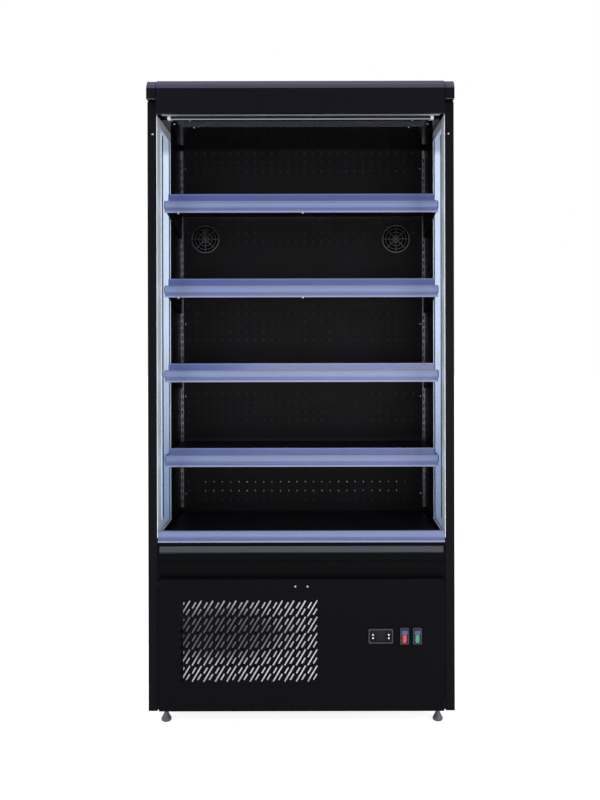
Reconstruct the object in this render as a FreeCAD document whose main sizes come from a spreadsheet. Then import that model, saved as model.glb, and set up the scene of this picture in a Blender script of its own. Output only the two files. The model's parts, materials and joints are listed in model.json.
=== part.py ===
import FreeCAD, Part
import math
import operator
import os
from types import SimpleNamespace

import Sketcher

# Open multideck display fridge with a plug-in refrigeration unit in its base.
# Millimetres. X runs across the front, -Y faces the shopper, Z is up, and the feet stand at Z 0.

SIZES = {
    # The whole cabinet.
    "overall_width": 955,
    "overall_depth": 680,
    "overall_height": 2018,
    "under_gap": 59,
    # End panels, with the caps that close the canopy's ends above them.
    "end_thickness": 28,
    "canopy_overhang": 35,
    "cap_width": 27.5,
    "cap_side_step": 3,
    "cap_height": 60,
    "cap_drop": 2,
    # Double-glazed side windows and the trims that frame them on the inside.
    "window_setback": 30,
    "window_depth": 216,
    "window_bottom": 602,
    "window_height": 1312,
    "pane_thickness": 4,
    "pane_inset": 2,
    "trim_thickness": 1.5,
    "trim_front_width": 32,
    "trim_rear_width": 5,
    "trim_lap": 3,
    "trim_foot_width": 5,
    "trim_head_width": 30,
    "spacer_width": 8,
    # Foamed walls and the air duct behind the perforated panel.
    "rear_wall_thickness": 55,
    "roof_drop": 2,
    "floor_thickness": 50,
    "duct_depth": 92,
    "back_sheet": 3,
    # Perforations of the inner back panel, which lie a little left of its middle.
    "hole_radius": 2.6,
    "perforation_x": -8,
    "hole_pitch_across": 30.8,
    "hole_pitch_up": 33,
    "hole_group_1_height": 1868,
    "hole_group_2_height": 1606,
    "hole_group_3_height": 1275,
    "hole_group_4_height": 960,
    "hole_group_5_height": 650,
    # Slotted uprights beside the side walls.
    "upright_width": 9,
    "upright_depth": 25,
    "upright_wall": 2,
    "upright_side_gap": 0.5,
    "upright_bottom": 594,
    "upright_head_gap": 12,
    "slot_width": 4,
    "slot_height": 16,
    # Shelves.
    "lowest_shelf_height": 841,
    "shelf_pitch": 275,
    "shelf_setback": 105,
    "tray_half_width": 443,
    "tray_depth": 22,
    "tray_sheet": 1.5,
    "tray_rear_gap": 5,
    "rail_half_width": 443.5,
    "rail_height": 38.5,
    "rail_depth": 6,
    "rail_wall": 1.6,
    "rail_top_lip": 5,
    "rail_foot_lip": 7,
    "rail_stand": 2,
    "riser_half_width": 432,
    "riser_height": 22,
    "riser_thickness": 3,
    "bracket_thickness": 3,
    "bracket_front_height": 22,
    "bracket_rear_height": 84,
    "hook_offset": 32,
    "hook_height": 7,
    "hook_drop": 6,
    "hook_thickness": 4,
    "hook_gap": 0.3,
    # Canopy.
    "fascia_half_width": 445,
    "fascia_height": 105,
    "fascia_sheet": 2,
    "fascia_lip": 14,
    "band_height": 27,
    "band_depth": 19,
    "band_bend_height": 14,
    "band_bend_depth": 6,
    "canopy_top_depth": 100,
    "canopy_top_lap": 20,
    "soffit_height": 1917,
    "soffit_sheet": 4,
    "outlet_front": 76,
    "outlet_depth": 79,
    "outlet_half_width": 400,
    "outlet_thickness": 12,
    "cell_pitch": 17,
    "cell_wall": 1.5,
    "lamp_radius": 8,
    "lamp_half_length": 430,
    "lamp_height": 1950,
    "lamp_holder_thickness": 6,
    # Night blind.
    "roller_radius": 18,
    "roller_height": 1943,
    "roller_setback": 40,
    "roller_half_length": 440,
    "roller_pin_radius": 5,
    "roller_pin_depth": 9,
    "pin_clearance": 0.08,
    "fabric_thickness": 0.8,
    "fabric_half_width": 411,
    "fabric_gap": 0.3,
    "pull_bar_top": 1918,
    "pull_bar_height": 12,
    "pull_bar_depth": 14,
    "pull_bar_half_length": 416,
    "pull_bar_edge": 3,
    # Deck and front sill.
    "sill_height": 107.5,
    "sill_thickness": 45,
    "sill_setback": 2,
    "groove_height": 3,
    "groove_depth": 2,
    "groove_below_top": 56.5,
    "sill_step_height": 12,
    "apron_setback": 4,
    "apron_thickness": 10,
    "apron_drop": 20,
    "bumper_height": 22,
    "bumper_depth": 9,
    "bumper_below_top": 11.5,
    "bumper_edge": 5,
    "deck_rail_height": 36.5,
    "deck_rail_half_width": 447.5,
    "deck_rail_proud": 1,
    "deck_below_sill": 5.5,
    "deck_half_width": 445,
    "deck_height": 47.7,
    "deck_sheet": 2,
    "deck_rear_gap": 3,
    "deck_rib_width": 30,
    "return_depth": 94,
    "return_sheet": 2,
    "return_slot_width": 5,
    "return_slot_pitch": 14,
    "return_slot_margin": 12,
    "return_leg_width": 20,
    # Service panel with its slanted air slots.
    "service_height": 408,
    "service_rise": 7.5,
    "service_side_gap": 8,
    "service_overhang": 20,
    "service_flange": 22,
    "service_sheet": 1.5,
    "panel_gap": 2,
    "louvre_first_x": -360,
    "louvre_first_height": 183,
    "louvre_pitch_across": 35.8,
    "louvre_pitch_up": 50.3,
    "louvre_long": 57.5,
    "louvre_short": 22,
    "louvre_short_across": 8.3,
    "louvre_short_up": 10.2,
    "louvre_slot": 4.4,
    # Controller and rocker switches.
    "control_height": 299.5,
    "controller_x": 245,
    "controller_width": 76.5,
    "controller_bezel_height": 45,
    "bezel_depth": 6,
    "bezel_corner": 4,
    "screen_width": 36,
    "screen_height": 18,
    "screen_recess": 1,
    "controller_body_width": 70,
    "controller_body_height": 34,
    "controller_body_depth": 55,
    "cutout_gap": 0.5,
    "button_radius": 2.7,
    "button_hole_radius": 3.05,
    "button_spacing_across": 48.9,
    "button_spacing_up": 10.3,
    "button_proud": 2,
    "button_length": 7,
    "button_pocket": 8,
    "switch_1_x": 318.5,
    "switch_2_x": 358.2,
    "switch_width": 27,
    "switch_height": 50,
    "switch_opening_width": 19,
    "switch_opening_height": 43.6,
    "switch_body_width": 23,
    "switch_body_height": 45.4,
    "switch_body_depth": 26,
    "rocker_width": 18,
    "rocker_half_height": 20,
    "rocker_proud": 9,
    "rocker_dip": 3,
    "rocker_back": 6,
    "rocker_tilt": 10,
    "rocker_pivot_behind": 1,
    "rocker_pin_radius": 1.5,
    "rocker_pin_length": 1.3,
    "rocker_pin_gap": 0.05,
    "rocker_pin_recess": 1.2,
    # Base frame and levelling feet.
    "frame_sheet": 2,
    "frame_upstand": 30,
    "frame_front_gap": 9,
    "boss_side": 32,
    "boss_height": 36,
    "foot_inset": 66,
    "foot_radius": 16.5,
    "foot_rim": 9,
    "foot_cone_height": 30,
    "foot_neck_radius": 6,
    "foot_stem_radius": 5,
    "foot_stem_reach": 30,
    "foot_bore_gap": 0.3,
    "nut_radius": 9,
    "nut_height": 7,
    "nut_gap": 22,
    # Condensing unit.
    "condenser_x": -160,
    "condenser_half_width": 215,
    "condenser_setback": 37,
    "condenser_depth": 55,
    "condenser_bottom": 126,
    "condenser_height": 296,
    "fin_pitch": 13,
    "fin_thickness": 1,
    "coil_plate": 2,
    "coil_tube_radius": 4.8,
    "coil_tube_pitch": 42,
    "shroud_sheet": 2,
    "shroud_depth": 10,
    "fan_height": 265,
    "fan_radius": 92,
    "fan_opening_radius": 98,
    "fan_hub_radius": 24,
    "fan_hub_length": 26,
    "fan_gap": 6,
    "fan_blade_chord": 44,
    "fan_blade_thickness": 2,
    "fan_blade_pitch": 32,
    "fan_shaft_radius": 4,
    "shaft_clearance": 0.06,
    "motor_radius": 38,
    "motor_length": 56,
    "bridge_half_length": 106,
    "bridge_width": 34,
    "bridge_sheet": 3,
    "compressor_x": 200,
    "compressor_y": 60,
    "compressor_radius": 82,
    "compressor_height": 130,
    "compressor_dome": 42,
    "compressor_rise": 24,
    "compressor_plate_length": 230,
    "compressor_plate_width": 150,
    "compressor_plate": 4,
    "grommet_radius": 13,
    "grommet_inset": 18,
    "terminal_width": 60,
    "terminal_depth": 34,
    "terminal_height": 70,
    "water_tray_length": 400,
    "water_tray_width": 190,
    "water_tray_height": 42,
    "water_tray_wall": 2,
    "water_tray_x": -170,
    "water_tray_rear_gap": 40,
    "pipe_radius": 5,
    "pipe_bend": 22,
    "pipe_hole_gap": 0.6,
    "pipe_rise_x": 400,
    "pipe_spacing": 26,
    # Evaporator in the rear duct, and its two fans in the back panel.
    "evaporator_half_width": 375,
    "evaporator_bottom": 640,
    "evaporator_height": 210,
    "evaporator_depth": 66,
    "duct_fan_x": 353,
    "duct_fan_height": 1583,
    "duct_fan_radius": 42,
    "duct_opening_radius": 46,
    "duct_hub_radius": 14,
    "duct_hub_length": 18,
    "duct_fan_gap": 7,
    "duct_blade_chord": 26,
    "duct_blade_thickness": 1.6,
    "duct_shaft_radius": 2.5,
    "duct_motor_radius": 19,
    "duct_motor_length": 34,
    "duct_motor_post_radius": 11,
    "guard_radius": 52,
    "guard_ring": 5,
    "guard_wire": 2.4,
    "guard_depth": 4,
    # Rear of the machine compartment.
    "grille_sheet": 2,
    "grille_side_gap": 0.5,
    "grille_setback": 16,
    "grille_slot_length": 90,
    "grille_slot_height": 7,
    "grille_slot_pitch_across": 120,
    "grille_slot_pitch_up": 22,
    "wiring_box_x": 320,
    "wiring_box_height": 110,
    "wiring_box_length": 130,
    "wiring_box_width": 70,
    "wiring_box_bottom": 205,
    "gland_radius": 11,
    "gland_bore_radius": 4.2,
    "gland_bore_length": 12,
    "gland_hole_gap": 0.4,
    # Screw heads.
    "screw_radius": 3.4,
    "screw_head": 1.6,
    "service_screw_x": 19,
    "stile_screw_inset": 16.5,
    "stile_screw_height": 1857,
    "panel_screw_x": 435,
    "panel_screw_1_height": 640,
    "panel_screw_2_height": 1000,
    "panel_screw_3_height": 1268,
    "panel_screw_4_height": 1844,
    "soffit_inner_screw_x": 355,
    "soffit_outer_screw_x": 412,
    "soffit_screw_gap": 6,
}

SHELVES = (1, 2, 3, 4)
SLOTS_PER_SHELF = 11
SLOTS_BELOW_LOWEST = 8
HOOK_SLOT_STEP = 2
HOLE_COLUMNS = 28
HOLE_GROUP_ROWS = (3, 3, 5, 4, 3)
PANEL_SCREW_ROWS = (1, 2, 3, 4)
LOUVRE_COLUMNS = 12
LOUVRE_ROWS = 5
LOUVRE_SLANT = 59
RETURN_LEGS = 4
DECK_RIBS = 3
CELL_ROWS = 5
CONDENSER_TUBES = 7
EVAPORATOR_TUBES = 5
CONDENSER_BLADES = 5
DUCT_BLADES = 5
GUARD_RINGS = 3
GUARD_SPOKES = 4
GRILLE_COLUMNS = 7
GRILLE_ROWS = 13

doc = FreeCAD.newDocument("multideck_display_fridge")


class Size:
    """A length that carries its value and the expression that works it out from the sheet."""

    def __init__(self, value, text):
        self.value = value
        self.text = text

    def __float__(self):
        return float(self.value)

    def __neg__(self):
        return Size(-self.value, f"-({self.text})")

    def __add__(self, other):
        return worked_out(operator.add, "+", self, other)

    def __radd__(self, other):
        return worked_out(operator.add, "+", other, self)

    def __sub__(self, other):
        return worked_out(operator.sub, "-", self, other)

    def __rsub__(self, other):
        return worked_out(operator.sub, "-", other, self)

    def __mul__(self, other):
        return worked_out(operator.mul, "*", self, other)

    def __rmul__(self, other):
        return worked_out(operator.mul, "*", other, self)

    def __truediv__(self, other):
        return worked_out(operator.truediv, "/", self, other)


def as_size(number):
    """A plain number as a Size, so that both can stand in one sum."""
    return number if isinstance(number, Size) else Size(number, repr(number))


def worked_out(operation, sign, left, right):
    """The Size that an arithmetic sign makes of two lengths."""
    left = as_size(left)
    right = as_size(right)
    return Size(operation(left.value, right.value), f"({left.text} {sign} {right.text})")


def fill_sheet():
    """Write the driving dimensions into the sheet and hand them back by name."""
    sheet = doc.addObject("Spreadsheet::Sheet", "Sizes")
    for row, (alias, number) in enumerate(SIZES.items(), start=1):
        sheet.set(f"A{row}", alias)
        sheet.set(f"B{row}", str(number))
        sheet.setAlias(f"B{row}", alias)
    doc.recompute()
    return SimpleNamespace(**{
        alias: Size(float(sheet.get(alias)), f"Sizes.{alias}") for alias in SIZES
    })


s = fill_sheet()
NODES = {}


def node(name, piece):
    """Name a finished sub-part as the node that it is written out as."""
    piece.Label = name
    NODES[name] = piece
    return piece


def vector(x, y, z):
    """A point or direction from three lengths."""
    return FreeCAD.Vector(float(x), float(y), float(z))


def place(piece, x, y, z, rotation=None):
    """Put a piece at a place that follows the sheet."""
    piece.Placement = FreeCAD.Placement(vector(x, y, z), rotation or FreeCAD.Rotation())
    for axis, value in zip("xyz", (x, y, z)):
        piece.setExpression(f"Placement.Base.{axis}", as_size(value).text)


def block(name, x, y, z):
    """A rectangular block between a low and a high place on each axis."""
    piece = doc.addObject("Part::Box", name)
    for side, (low, high) in zip(("Length", "Width", "Height"), (x, y, z)):
        piece.setExpression(side, (high - low).text)
    place(piece, x[0], y[0], z[0])
    return piece


TURNS = {
    "x": FreeCAD.Rotation(FreeCAD.Vector(0, 1, 0), 90),
    "y": FreeCAD.Rotation(FreeCAD.Vector(1, 0, 0), -90),
    "z": FreeCAD.Rotation(),
}


def rod(name, radius, length, start, axis="z"):
    """A cylinder that runs from the middle of its first face along an axis."""
    piece = doc.addObject("Part::Cylinder", name)
    piece.setExpression("Radius", as_size(radius).text)
    piece.setExpression("Height", as_size(length).text)
    place(piece, *start, TURNS[axis])
    return piece


def bar(name, centre_x, length, places):
    """A bar along X whose section joins the given (y, z) places in turn."""
    body = doc.addObject("PartDesign::Body", name)
    section = body.newObject("Sketcher::SketchObject", f"{name}_section")
    plane = next(item for item in body.Origin.OriginFeatures if item.Role == "YZ_Plane")
    section.AttachmentSupport = [(plane, "")]
    section.MapMode = "FlatFace"
    for (y, z), (next_y, next_z) in zip(places, places[1:] + places[:1]):
        section.addGeometry(Part.LineSegment(vector(y, z, 0), vector(next_y, next_z, 0)), False)
    for edge, (y, z) in enumerate(places):
        following = (edge + 1) % len(places)
        section.addConstraint(Sketcher.Constraint("Coincident", edge, 2, following, 1))
        for direction, value in (("DistanceX", as_size(y)), ("DistanceY", as_size(z))):
            constraint = Sketcher.Constraint(direction, -1, 1, edge, 1, float(value))
            index = section.addConstraint(constraint)
            section.setExpression(f"Constraints[{index}]", value.text)
    pad = body.newObject("PartDesign::Pad", f"{name}_pad")
    pad.Profile = section
    pad.Midplane = True
    pad.setExpression("Length", as_size(length).text)
    body.setExpression("Placement.Base.x", as_size(centre_x).text)
    return body


def cut(name, base, *tools):
    """A piece with one or more others taken away from it."""
    piece = doc.addObject("Part::Cut", name)
    piece.Base = base
    piece.Tool = tools[0] if len(tools) == 1 else together(f"{name}_tools", *tools)
    return piece


def fused(name, *pieces):
    """Several shapes made into one solid."""
    piece = doc.addObject("Part::MultiFuse", name)
    piece.Shapes = list(pieces)
    piece.Refine = True
    return piece


def together(name, *pieces):
    """Separate solids kept as one group."""
    piece = doc.addObject("Part::Compound", name)
    piece.Links = list(pieces)
    return piece


def mirrored(name, source):
    """The same piece on the other side of the cabinet."""
    piece = doc.addObject("Part::Mirroring", name)
    piece.Source = source
    piece.Normal = FreeCAD.Vector(1, 0, 0)
    piece.Base = FreeCAD.Vector(0, 0, 0)
    return piece


def shaped(name, shape):
    """A piece whose shape is worked out here from the sheet's sizes."""
    piece = doc.addObject("Part::Feature", name)
    piece.Shape = shape
    return piece


def outline(points):
    """A closed wire of straight edges."""
    return Part.makePolygon(points + points[:1])


def round_wire(centre, direction, radius):
    """A circular wire."""
    return Part.Wire([Part.Circle(centre, direction, float(radius)).toShape()])


def pierced(corners, openings, thickness):
    """A flat sheet with openings, made thick along a vector."""
    wires = [outline(corners)] + openings
    return Part.makeFace(wires, "Part::FaceMakerBullseye").extrude(thickness)


def rectangle(centre, across, up):
    """The four corners of a rectangle around its centre, from two half-side vectors."""
    return [centre - across - up, centre + across - up, centre + across + up, centre - across + up]


ALONG_X = FreeCAD.Vector(1, 0, 0)
ALONG_Y = FreeCAD.Vector(0, 1, 0)
ALONG_Z = FreeCAD.Vector(0, 0, 1)

# Places that several pieces share.
half_width = s.overall_width / 2
inner_half = half_width - s.end_thickness
canopy_front = -s.overall_depth / 2
front = canopy_front + s.canopy_overhang
rear = s.overall_depth / 2
cap_bottom = s.overall_height - s.cap_height
cap_outer = half_width - s.cap_side_step
cap_inner = cap_outer - s.cap_width
rear_wall_front = rear - s.rear_wall_thickness
back_panel_rear = rear_wall_front - s.duct_depth
back_panel_front = back_panel_rear - s.back_sheet
roof_top = s.overall_height - s.roof_drop
roof_bottom = cap_bottom
canopy_back = canopy_front + s.canopy_top_depth
soffit_top = s.soffit_height + s.soffit_sheet
service_bottom = s.under_gap + s.service_rise
service_top = service_bottom + s.service_height
service_front = front - s.service_overhang
sill_bottom = service_top + s.panel_gap
sill_top = sill_bottom + s.sill_height
sill_front = front + s.sill_setback
sill_rear = sill_front + s.sill_thickness
deck_top = sill_top - s.deck_below_sill
hook_gap = s.hook_gap
floor_top = deck_top - s.deck_height - hook_gap
floor_bottom = floor_top - s.floor_thickness
upright_front = back_panel_front - s.upright_depth
upright_outer = inner_half - s.upright_side_gap
upright_x = upright_outer - s.upright_width / 2
upright_top = s.soffit_height - s.upright_head_gap
slot_pitch = s.shelf_pitch / SLOTS_PER_SHELF
frame_front = front + s.frame_front_gap
frame_top = s.under_gap + s.frame_sheet


def shelf_height(shelf):
    """The top of a shelf's price rail, counted up from the lowest shelf."""
    return s.lowest_shelf_height + s.shelf_pitch * (shelf - 1)


def end_panel():
    """One foamed end wall with the opening for its window and the blind roller's bearing hole."""
    slab = block("end_panel_slab", (inner_half, half_width), (front, rear), (s.under_gap, cap_bottom))
    window_front = front + s.window_setback
    window = block(
        "end_panel_window",
        (inner_half, half_width),
        (window_front, window_front + s.window_depth),
        (s.window_bottom, s.window_bottom + s.window_height),
    )
    bearing = rod(
        "end_panel_bearing",
        s.roller_pin_radius + s.pin_clearance,
        s.roller_pin_depth + 1,
        (inner_half, front + s.roller_setback, s.roller_height),
        "x",
    )
    right = node("right_end_panel", cut("right_end_panel", slab, window, bearing))
    node("left_end_panel", mirrored("left_end_panel", right))


def side_windows():
    """Two panes in each end panel's opening, the spacer between them and the inside trim."""
    low_y = front + s.window_setback
    high_y = low_y + s.window_depth
    low_z = s.window_bottom
    high_z = low_z + s.window_height
    outer_pane = block(
        "outer_pane",
        (half_width - s.pane_inset - s.pane_thickness, half_width - s.pane_inset),
        (low_y, high_y),
        (low_z, high_z),
    )
    inner_pane = block(
        "inner_pane",
        (inner_half, inner_half + s.pane_thickness),
        (low_y, high_y),
        (low_z, high_z),
    )
    panes = together("right_panes", outer_pane, inner_pane)
    node("window_glass", together("window_glass", panes, mirrored("left_panes", panes)))

    trim_x = (inner_half - s.trim_thickness, inner_half)
    plate = block(
        "trim_plate",
        trim_x,
        (front, high_y + s.trim_lap),
        (low_z - s.trim_lap, high_z + s.trim_lap),
    )
    hole = block(
        "trim_hole",
        trim_x,
        (low_y + s.trim_front_width, high_y + s.trim_lap - s.trim_rear_width),
        (low_z - s.trim_lap + s.trim_foot_width, high_z + s.trim_lap - s.trim_head_width),
    )
    trim = cut("right_trim", plate, hole)

    spacer_x = (inner_half + s.pane_thickness, half_width - s.pane_inset - s.pane_thickness)
    spacer_slab = block("spacer_slab", spacer_x, (low_y, high_y), (low_z, high_z))
    spacer_hole = block(
        "spacer_hole",
        spacer_x,
        (low_y + s.spacer_width, high_y - s.spacer_width),
        (low_z + s.spacer_width, high_z - s.spacer_width),
    )
    right = together("right_trims", trim, cut("right_spacer", spacer_slab, spacer_hole))
    node("window_trims", together("window_trims", right, mirrored("left_trims", right)))


def foamed_walls():
    """The insulated rear wall, roof and floor of the refrigerated space."""
    across = (-inner_half, inner_half)
    node("rear_wall", block("rear_wall", across, (rear_wall_front, rear), (floor_bottom, roof_bottom)))
    node("roof_panel", block(
        "roof_panel", (-cap_inner, cap_inner), (canopy_back, rear), (roof_bottom, roof_top)))
    slab = block("floor_slab", across, (sill_rear, rear_wall_front), (floor_bottom, floor_top))
    holes = [
        rod(f"floor_pipe_hole_{number}", s.pipe_radius + s.pipe_hole_gap, s.floor_thickness,
            (s.pipe_rise_x + s.pipe_spacing * number, pipe_y(), floor_bottom))
        for number in (0, 1)
    ]
    node("cabinet_floor", cut("cabinet_floor", slab, *holes))


def pipe_y():
    """How far back the refrigerant pipes rise, in the middle of the rear duct."""
    return back_panel_rear + s.duct_depth / 2


def duct_fan_places():
    """How far across the two duct fans are."""
    return [s.perforation_x + side * s.duct_fan_x for side in (-1, 1)]


def inner_back_panel():
    """The perforated sheet in front of the duct, with a round opening for each duct fan."""
    middle = vector(0, back_panel_front, (floor_top + s.soffit_height) / 2)
    corners = rectangle(
        middle,
        ALONG_X * float(inner_half),
        ALONG_Z * float((s.soffit_height - floor_top) / 2),
    )
    fans = [vector(x, back_panel_front, s.duct_fan_height) for x in duct_fan_places()]
    openings = [round_wire(fan, ALONG_Y, s.duct_opening_radius) for fan in fans]
    clear = float(s.guard_radius + s.hole_radius)
    for group, rows in enumerate(HOLE_GROUP_ROWS, start=1):
        group_height = getattr(s, f"hole_group_{group}_height")
        for row in range(rows):
            height = group_height + s.hole_pitch_up * (row - (rows - 1) / 2)
            for column in range(HOLE_COLUMNS):
                x = s.perforation_x + s.hole_pitch_across * (column - (HOLE_COLUMNS - 1) / 2)
                centre = vector(x, back_panel_front, height)
                if min((centre - fan).Length for fan in fans) > clear:
                    openings.append(round_wire(centre, ALONG_Y, s.hole_radius))
    sheet = pierced(corners, openings, ALONG_Y * float(s.back_sheet))
    node("inner_back_panel", shaped("inner_back_panel", sheet))


def shelf_uprights():
    """The two slotted channels that the shelf brackets hook into."""
    first_slot = s.lowest_shelf_height - s.hook_offset - slot_pitch * SLOTS_BELOW_LOWEST
    last_slot = upright_top - s.slot_height * 2
    count = int(float(last_slot - first_slot) / float(slot_pitch)) + 1
    middle = vector(upright_x, upright_front, (s.upright_bottom + upright_top) / 2)
    corners = rectangle(
        middle,
        ALONG_X * float(s.upright_width / 2),
        ALONG_Z * float((upright_top - s.upright_bottom) / 2),
    )
    slots = []
    for number in range(count):
        centre = vector(
            upright_x, upright_front, first_slot + slot_pitch * number + s.slot_height / 2)
        slots.append(outline(rectangle(
            centre, ALONG_X * float(s.slot_width / 2), ALONG_Z * float(s.slot_height / 2))))
    face = shaped("upright_face", pierced(corners, slots, ALONG_Y * float(s.upright_wall)))
    heights = (s.upright_bottom, upright_top)
    flanges = [
        block(f"upright_flange_{number}", (low, low + s.upright_wall),
              (upright_front, back_panel_front), heights)
        for number, low in enumerate(
            (upright_outer - s.upright_width, upright_outer - s.upright_wall))
    ]
    right = fused("right_upright", face, *flanges)
    node("shelf_uprights", together("shelf_uprights", right, mirrored("left_upright", right)))


def ticket_rail(name, half_width_x, face_y, top, height):
    """A price rail: a back strip with a short lip at the top and a longer one at the foot."""
    back_y = face_y + s.rail_depth
    foot = top - height
    inner_y = back_y - s.rail_wall
    return bar(name, 0, half_width_x * 2, [
        (back_y, foot),
        (back_y, top),
        (face_y, top),
        (face_y, top - s.rail_top_lip),
        (face_y + s.rail_wall, top - s.rail_top_lip),
        (face_y + s.rail_wall, top - s.rail_wall),
        (inner_y, top - s.rail_wall),
        (inner_y, foot + s.rail_wall),
        (face_y + s.rail_wall, foot + s.rail_wall),
        (face_y + s.rail_wall, foot + s.rail_foot_lip),
        (face_y, foot + s.rail_foot_lip),
        (face_y, foot),
    ])


def bracket(name, tray_front, tray_top):
    """A tapered shelf bracket with two hooks that drop into the upright's slots."""
    rail_top = tray_top + s.rail_stand
    heel = upright_front - hook_gap
    hook_front = upright_front + s.upright_wall + hook_gap
    hook_rear = hook_front + s.hook_thickness
    places = [
        (tray_front, tray_top - s.tray_sheet),
        (tray_front, tray_top - s.bracket_front_height),
        (heel, tray_top - s.bracket_rear_height),
    ]
    upper_slot = rail_top - s.hook_offset
    for slot in (upper_slot - slot_pitch * HOOK_SLOT_STEP, upper_slot):
        seat = slot + hook_gap
        places += [
            (heel, seat),
            (hook_front, seat),
            (hook_front, seat - s.hook_drop),
            (hook_rear, seat - s.hook_drop),
            (hook_rear, seat + s.hook_height),
            (heel, seat + s.hook_height),
        ]
    places.append((heel, tray_top - s.tray_sheet))
    return bar(name, upright_x, s.bracket_thickness, places)


def shelf(number):
    """One shelf: a tray folded down on three sides, on hooked brackets, with its rail and riser."""
    rail_top = shelf_height(number)
    rail_front = front + s.shelf_setback
    tray_front = rail_front + s.rail_depth
    tray_top = rail_top - s.rail_stand
    tray_rear = upright_front - s.tray_rear_gap
    name = f"shelf_{number}"
    across = (-s.tray_half_width, s.tray_half_width)
    sheet = block(f"{name}_sheet", across, (tray_front, tray_rear), (tray_top - s.tray_depth, tray_top))
    hollow = block(
        f"{name}_hollow",
        (-s.tray_half_width + s.tray_sheet, s.tray_half_width - s.tray_sheet),
        (tray_front + s.tray_sheet, tray_rear),
        (tray_top - s.tray_depth, tray_top - s.tray_sheet),
    )
    right_bracket = bracket(f"{name}_right_bracket", tray_front, tray_top)
    left_bracket = mirrored(f"{name}_left_bracket", right_bracket)
    tray = cut(f"{name}_folded_sheet", sheet, hollow)
    node(f"{name}_tray", together(f"{name}_tray", tray, right_bracket, left_bracket))
    node(f"{name}_price_rail", ticket_rail(
        f"{name}_price_rail", s.rail_half_width, rail_front, rail_top, s.rail_height))
    node(f"{name}_riser", block(
        f"{name}_riser",
        (-s.riser_half_width, s.riser_half_width),
        (tray_front - s.riser_thickness, tray_front),
        (rail_top, rail_top + s.riser_height),
    ))


def canopy():
    """The folded front fascia, the caps at its ends and the lamp behind it."""
    fascia_bottom = s.overall_height - s.fascia_height
    top = s.overall_height
    band_foot = top - s.band_height
    skin = s.fascia_sheet
    bend = (canopy_front + s.band_bend_depth, top - s.band_bend_height)
    node("canopy_fascia", bar("canopy_fascia", 0, s.fascia_half_width * 2, [
        (canopy_front, fascia_bottom),
        (canopy_front, band_foot),
        bend,
        (canopy_front + s.band_depth, top),
        (canopy_back + s.canopy_top_lap, top),
        (canopy_back + s.canopy_top_lap, top - skin),
        (canopy_front + s.band_depth, top - skin),
        (bend[0] + skin, bend[1] - skin),
        (canopy_front + skin, band_foot),
        (canopy_front + skin, fascia_bottom + skin),
        (canopy_front + s.fascia_lip, fascia_bottom + skin),
        (canopy_front + s.fascia_lip, fascia_bottom),
    ]))
    cap_top = top - s.cap_drop
    right_cap = bar("right_cap", (cap_inner + cap_outer) / 2, s.cap_width, [
        (canopy_front, cap_bottom),
        (canopy_front, band_foot),
        (bend[0], bend[1] - s.cap_drop),
        (canopy_front + s.band_depth, cap_top),
        (rear, cap_top),
        (rear, cap_bottom),
    ])
    node("canopy_end_caps", together("canopy_end_caps", right_cap, mirrored("left_cap", right_cap)))

    lamp_y = canopy_front + s.fascia_sheet + s.lamp_radius + s.lamp_holder_thickness
    tube = rod("lamp_tube", s.lamp_radius, s.lamp_half_length * 2,
               (-s.lamp_half_length, lamp_y, s.lamp_height), "x")
    holder_x = s.lamp_half_length - s.lamp_holder_thickness * 2
    holder = block(
        "lamp_holder",
        (holder_x, holder_x + s.lamp_holder_thickness),
        (canopy_front + s.fascia_sheet, lamp_y),
        (s.lamp_height - s.lamp_radius, s.lamp_height + s.lamp_radius),
    )
    node("canopy_lamp", fused("canopy_lamp", tube, holder, mirrored("lamp_holder_left", holder)))


def canopy_soffit():
    """The ceiling sheet over the shelves and the honeycomb that straightens the falling air."""
    outlet_low = front + s.outlet_front
    outlet_high = outlet_low + s.outlet_depth
    sheet = block("soffit_sheet", (-inner_half, inner_half), (canopy_back, back_panel_rear),
                  (s.soffit_height, soffit_top))
    opening = block(
        "soffit_opening",
        (-s.outlet_half_width, s.outlet_half_width),
        (outlet_low, outlet_high),
        (s.soffit_height, soffit_top),
    )
    upstand = block("soffit_upstand", (-cap_inner, cap_inner),
                    (canopy_back, canopy_back + s.fascia_sheet), (s.soffit_height, roof_bottom))
    node("canopy_soffit", fused("canopy_soffit", cut("soffit_with_outlet", sheet, opening), upstand))

    middle = vector(0, (outlet_low + outlet_high) / 2, s.soffit_height)
    corners = rectangle(
        middle, ALONG_X * float(s.outlet_half_width), ALONG_Y * float(s.outlet_depth / 2))
    cell_radius = float(s.cell_pitch - s.cell_wall) / math.sqrt(3)
    row_pitch = float(s.cell_pitch) * math.sqrt(3) / 2
    columns = int(float(s.outlet_half_width * 2) / float(s.cell_pitch)) - 1
    cells = []
    for row in range(CELL_ROWS):
        shift = 0.5 if row % 2 else 0
        for column in range(columns):
            centre = middle + FreeCAD.Vector(
                float(s.cell_pitch) * (column - (columns - 0.5) / 2 + shift),
                row_pitch * (row - (CELL_ROWS - 1) / 2),
                0,
            )
            cells.append(outline([
                centre + FreeCAD.Vector(
                    cell_radius * math.sin(corner * math.pi / 3),
                    cell_radius * math.cos(corner * math.pi / 3), 0)
                for corner in range(6)
            ]))
    honeycomb = pierced(corners, cells, ALONG_Z * float(s.outlet_thickness))
    node("air_outlet_honeycomb", shaped("air_outlet_honeycomb", honeycomb))


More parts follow.
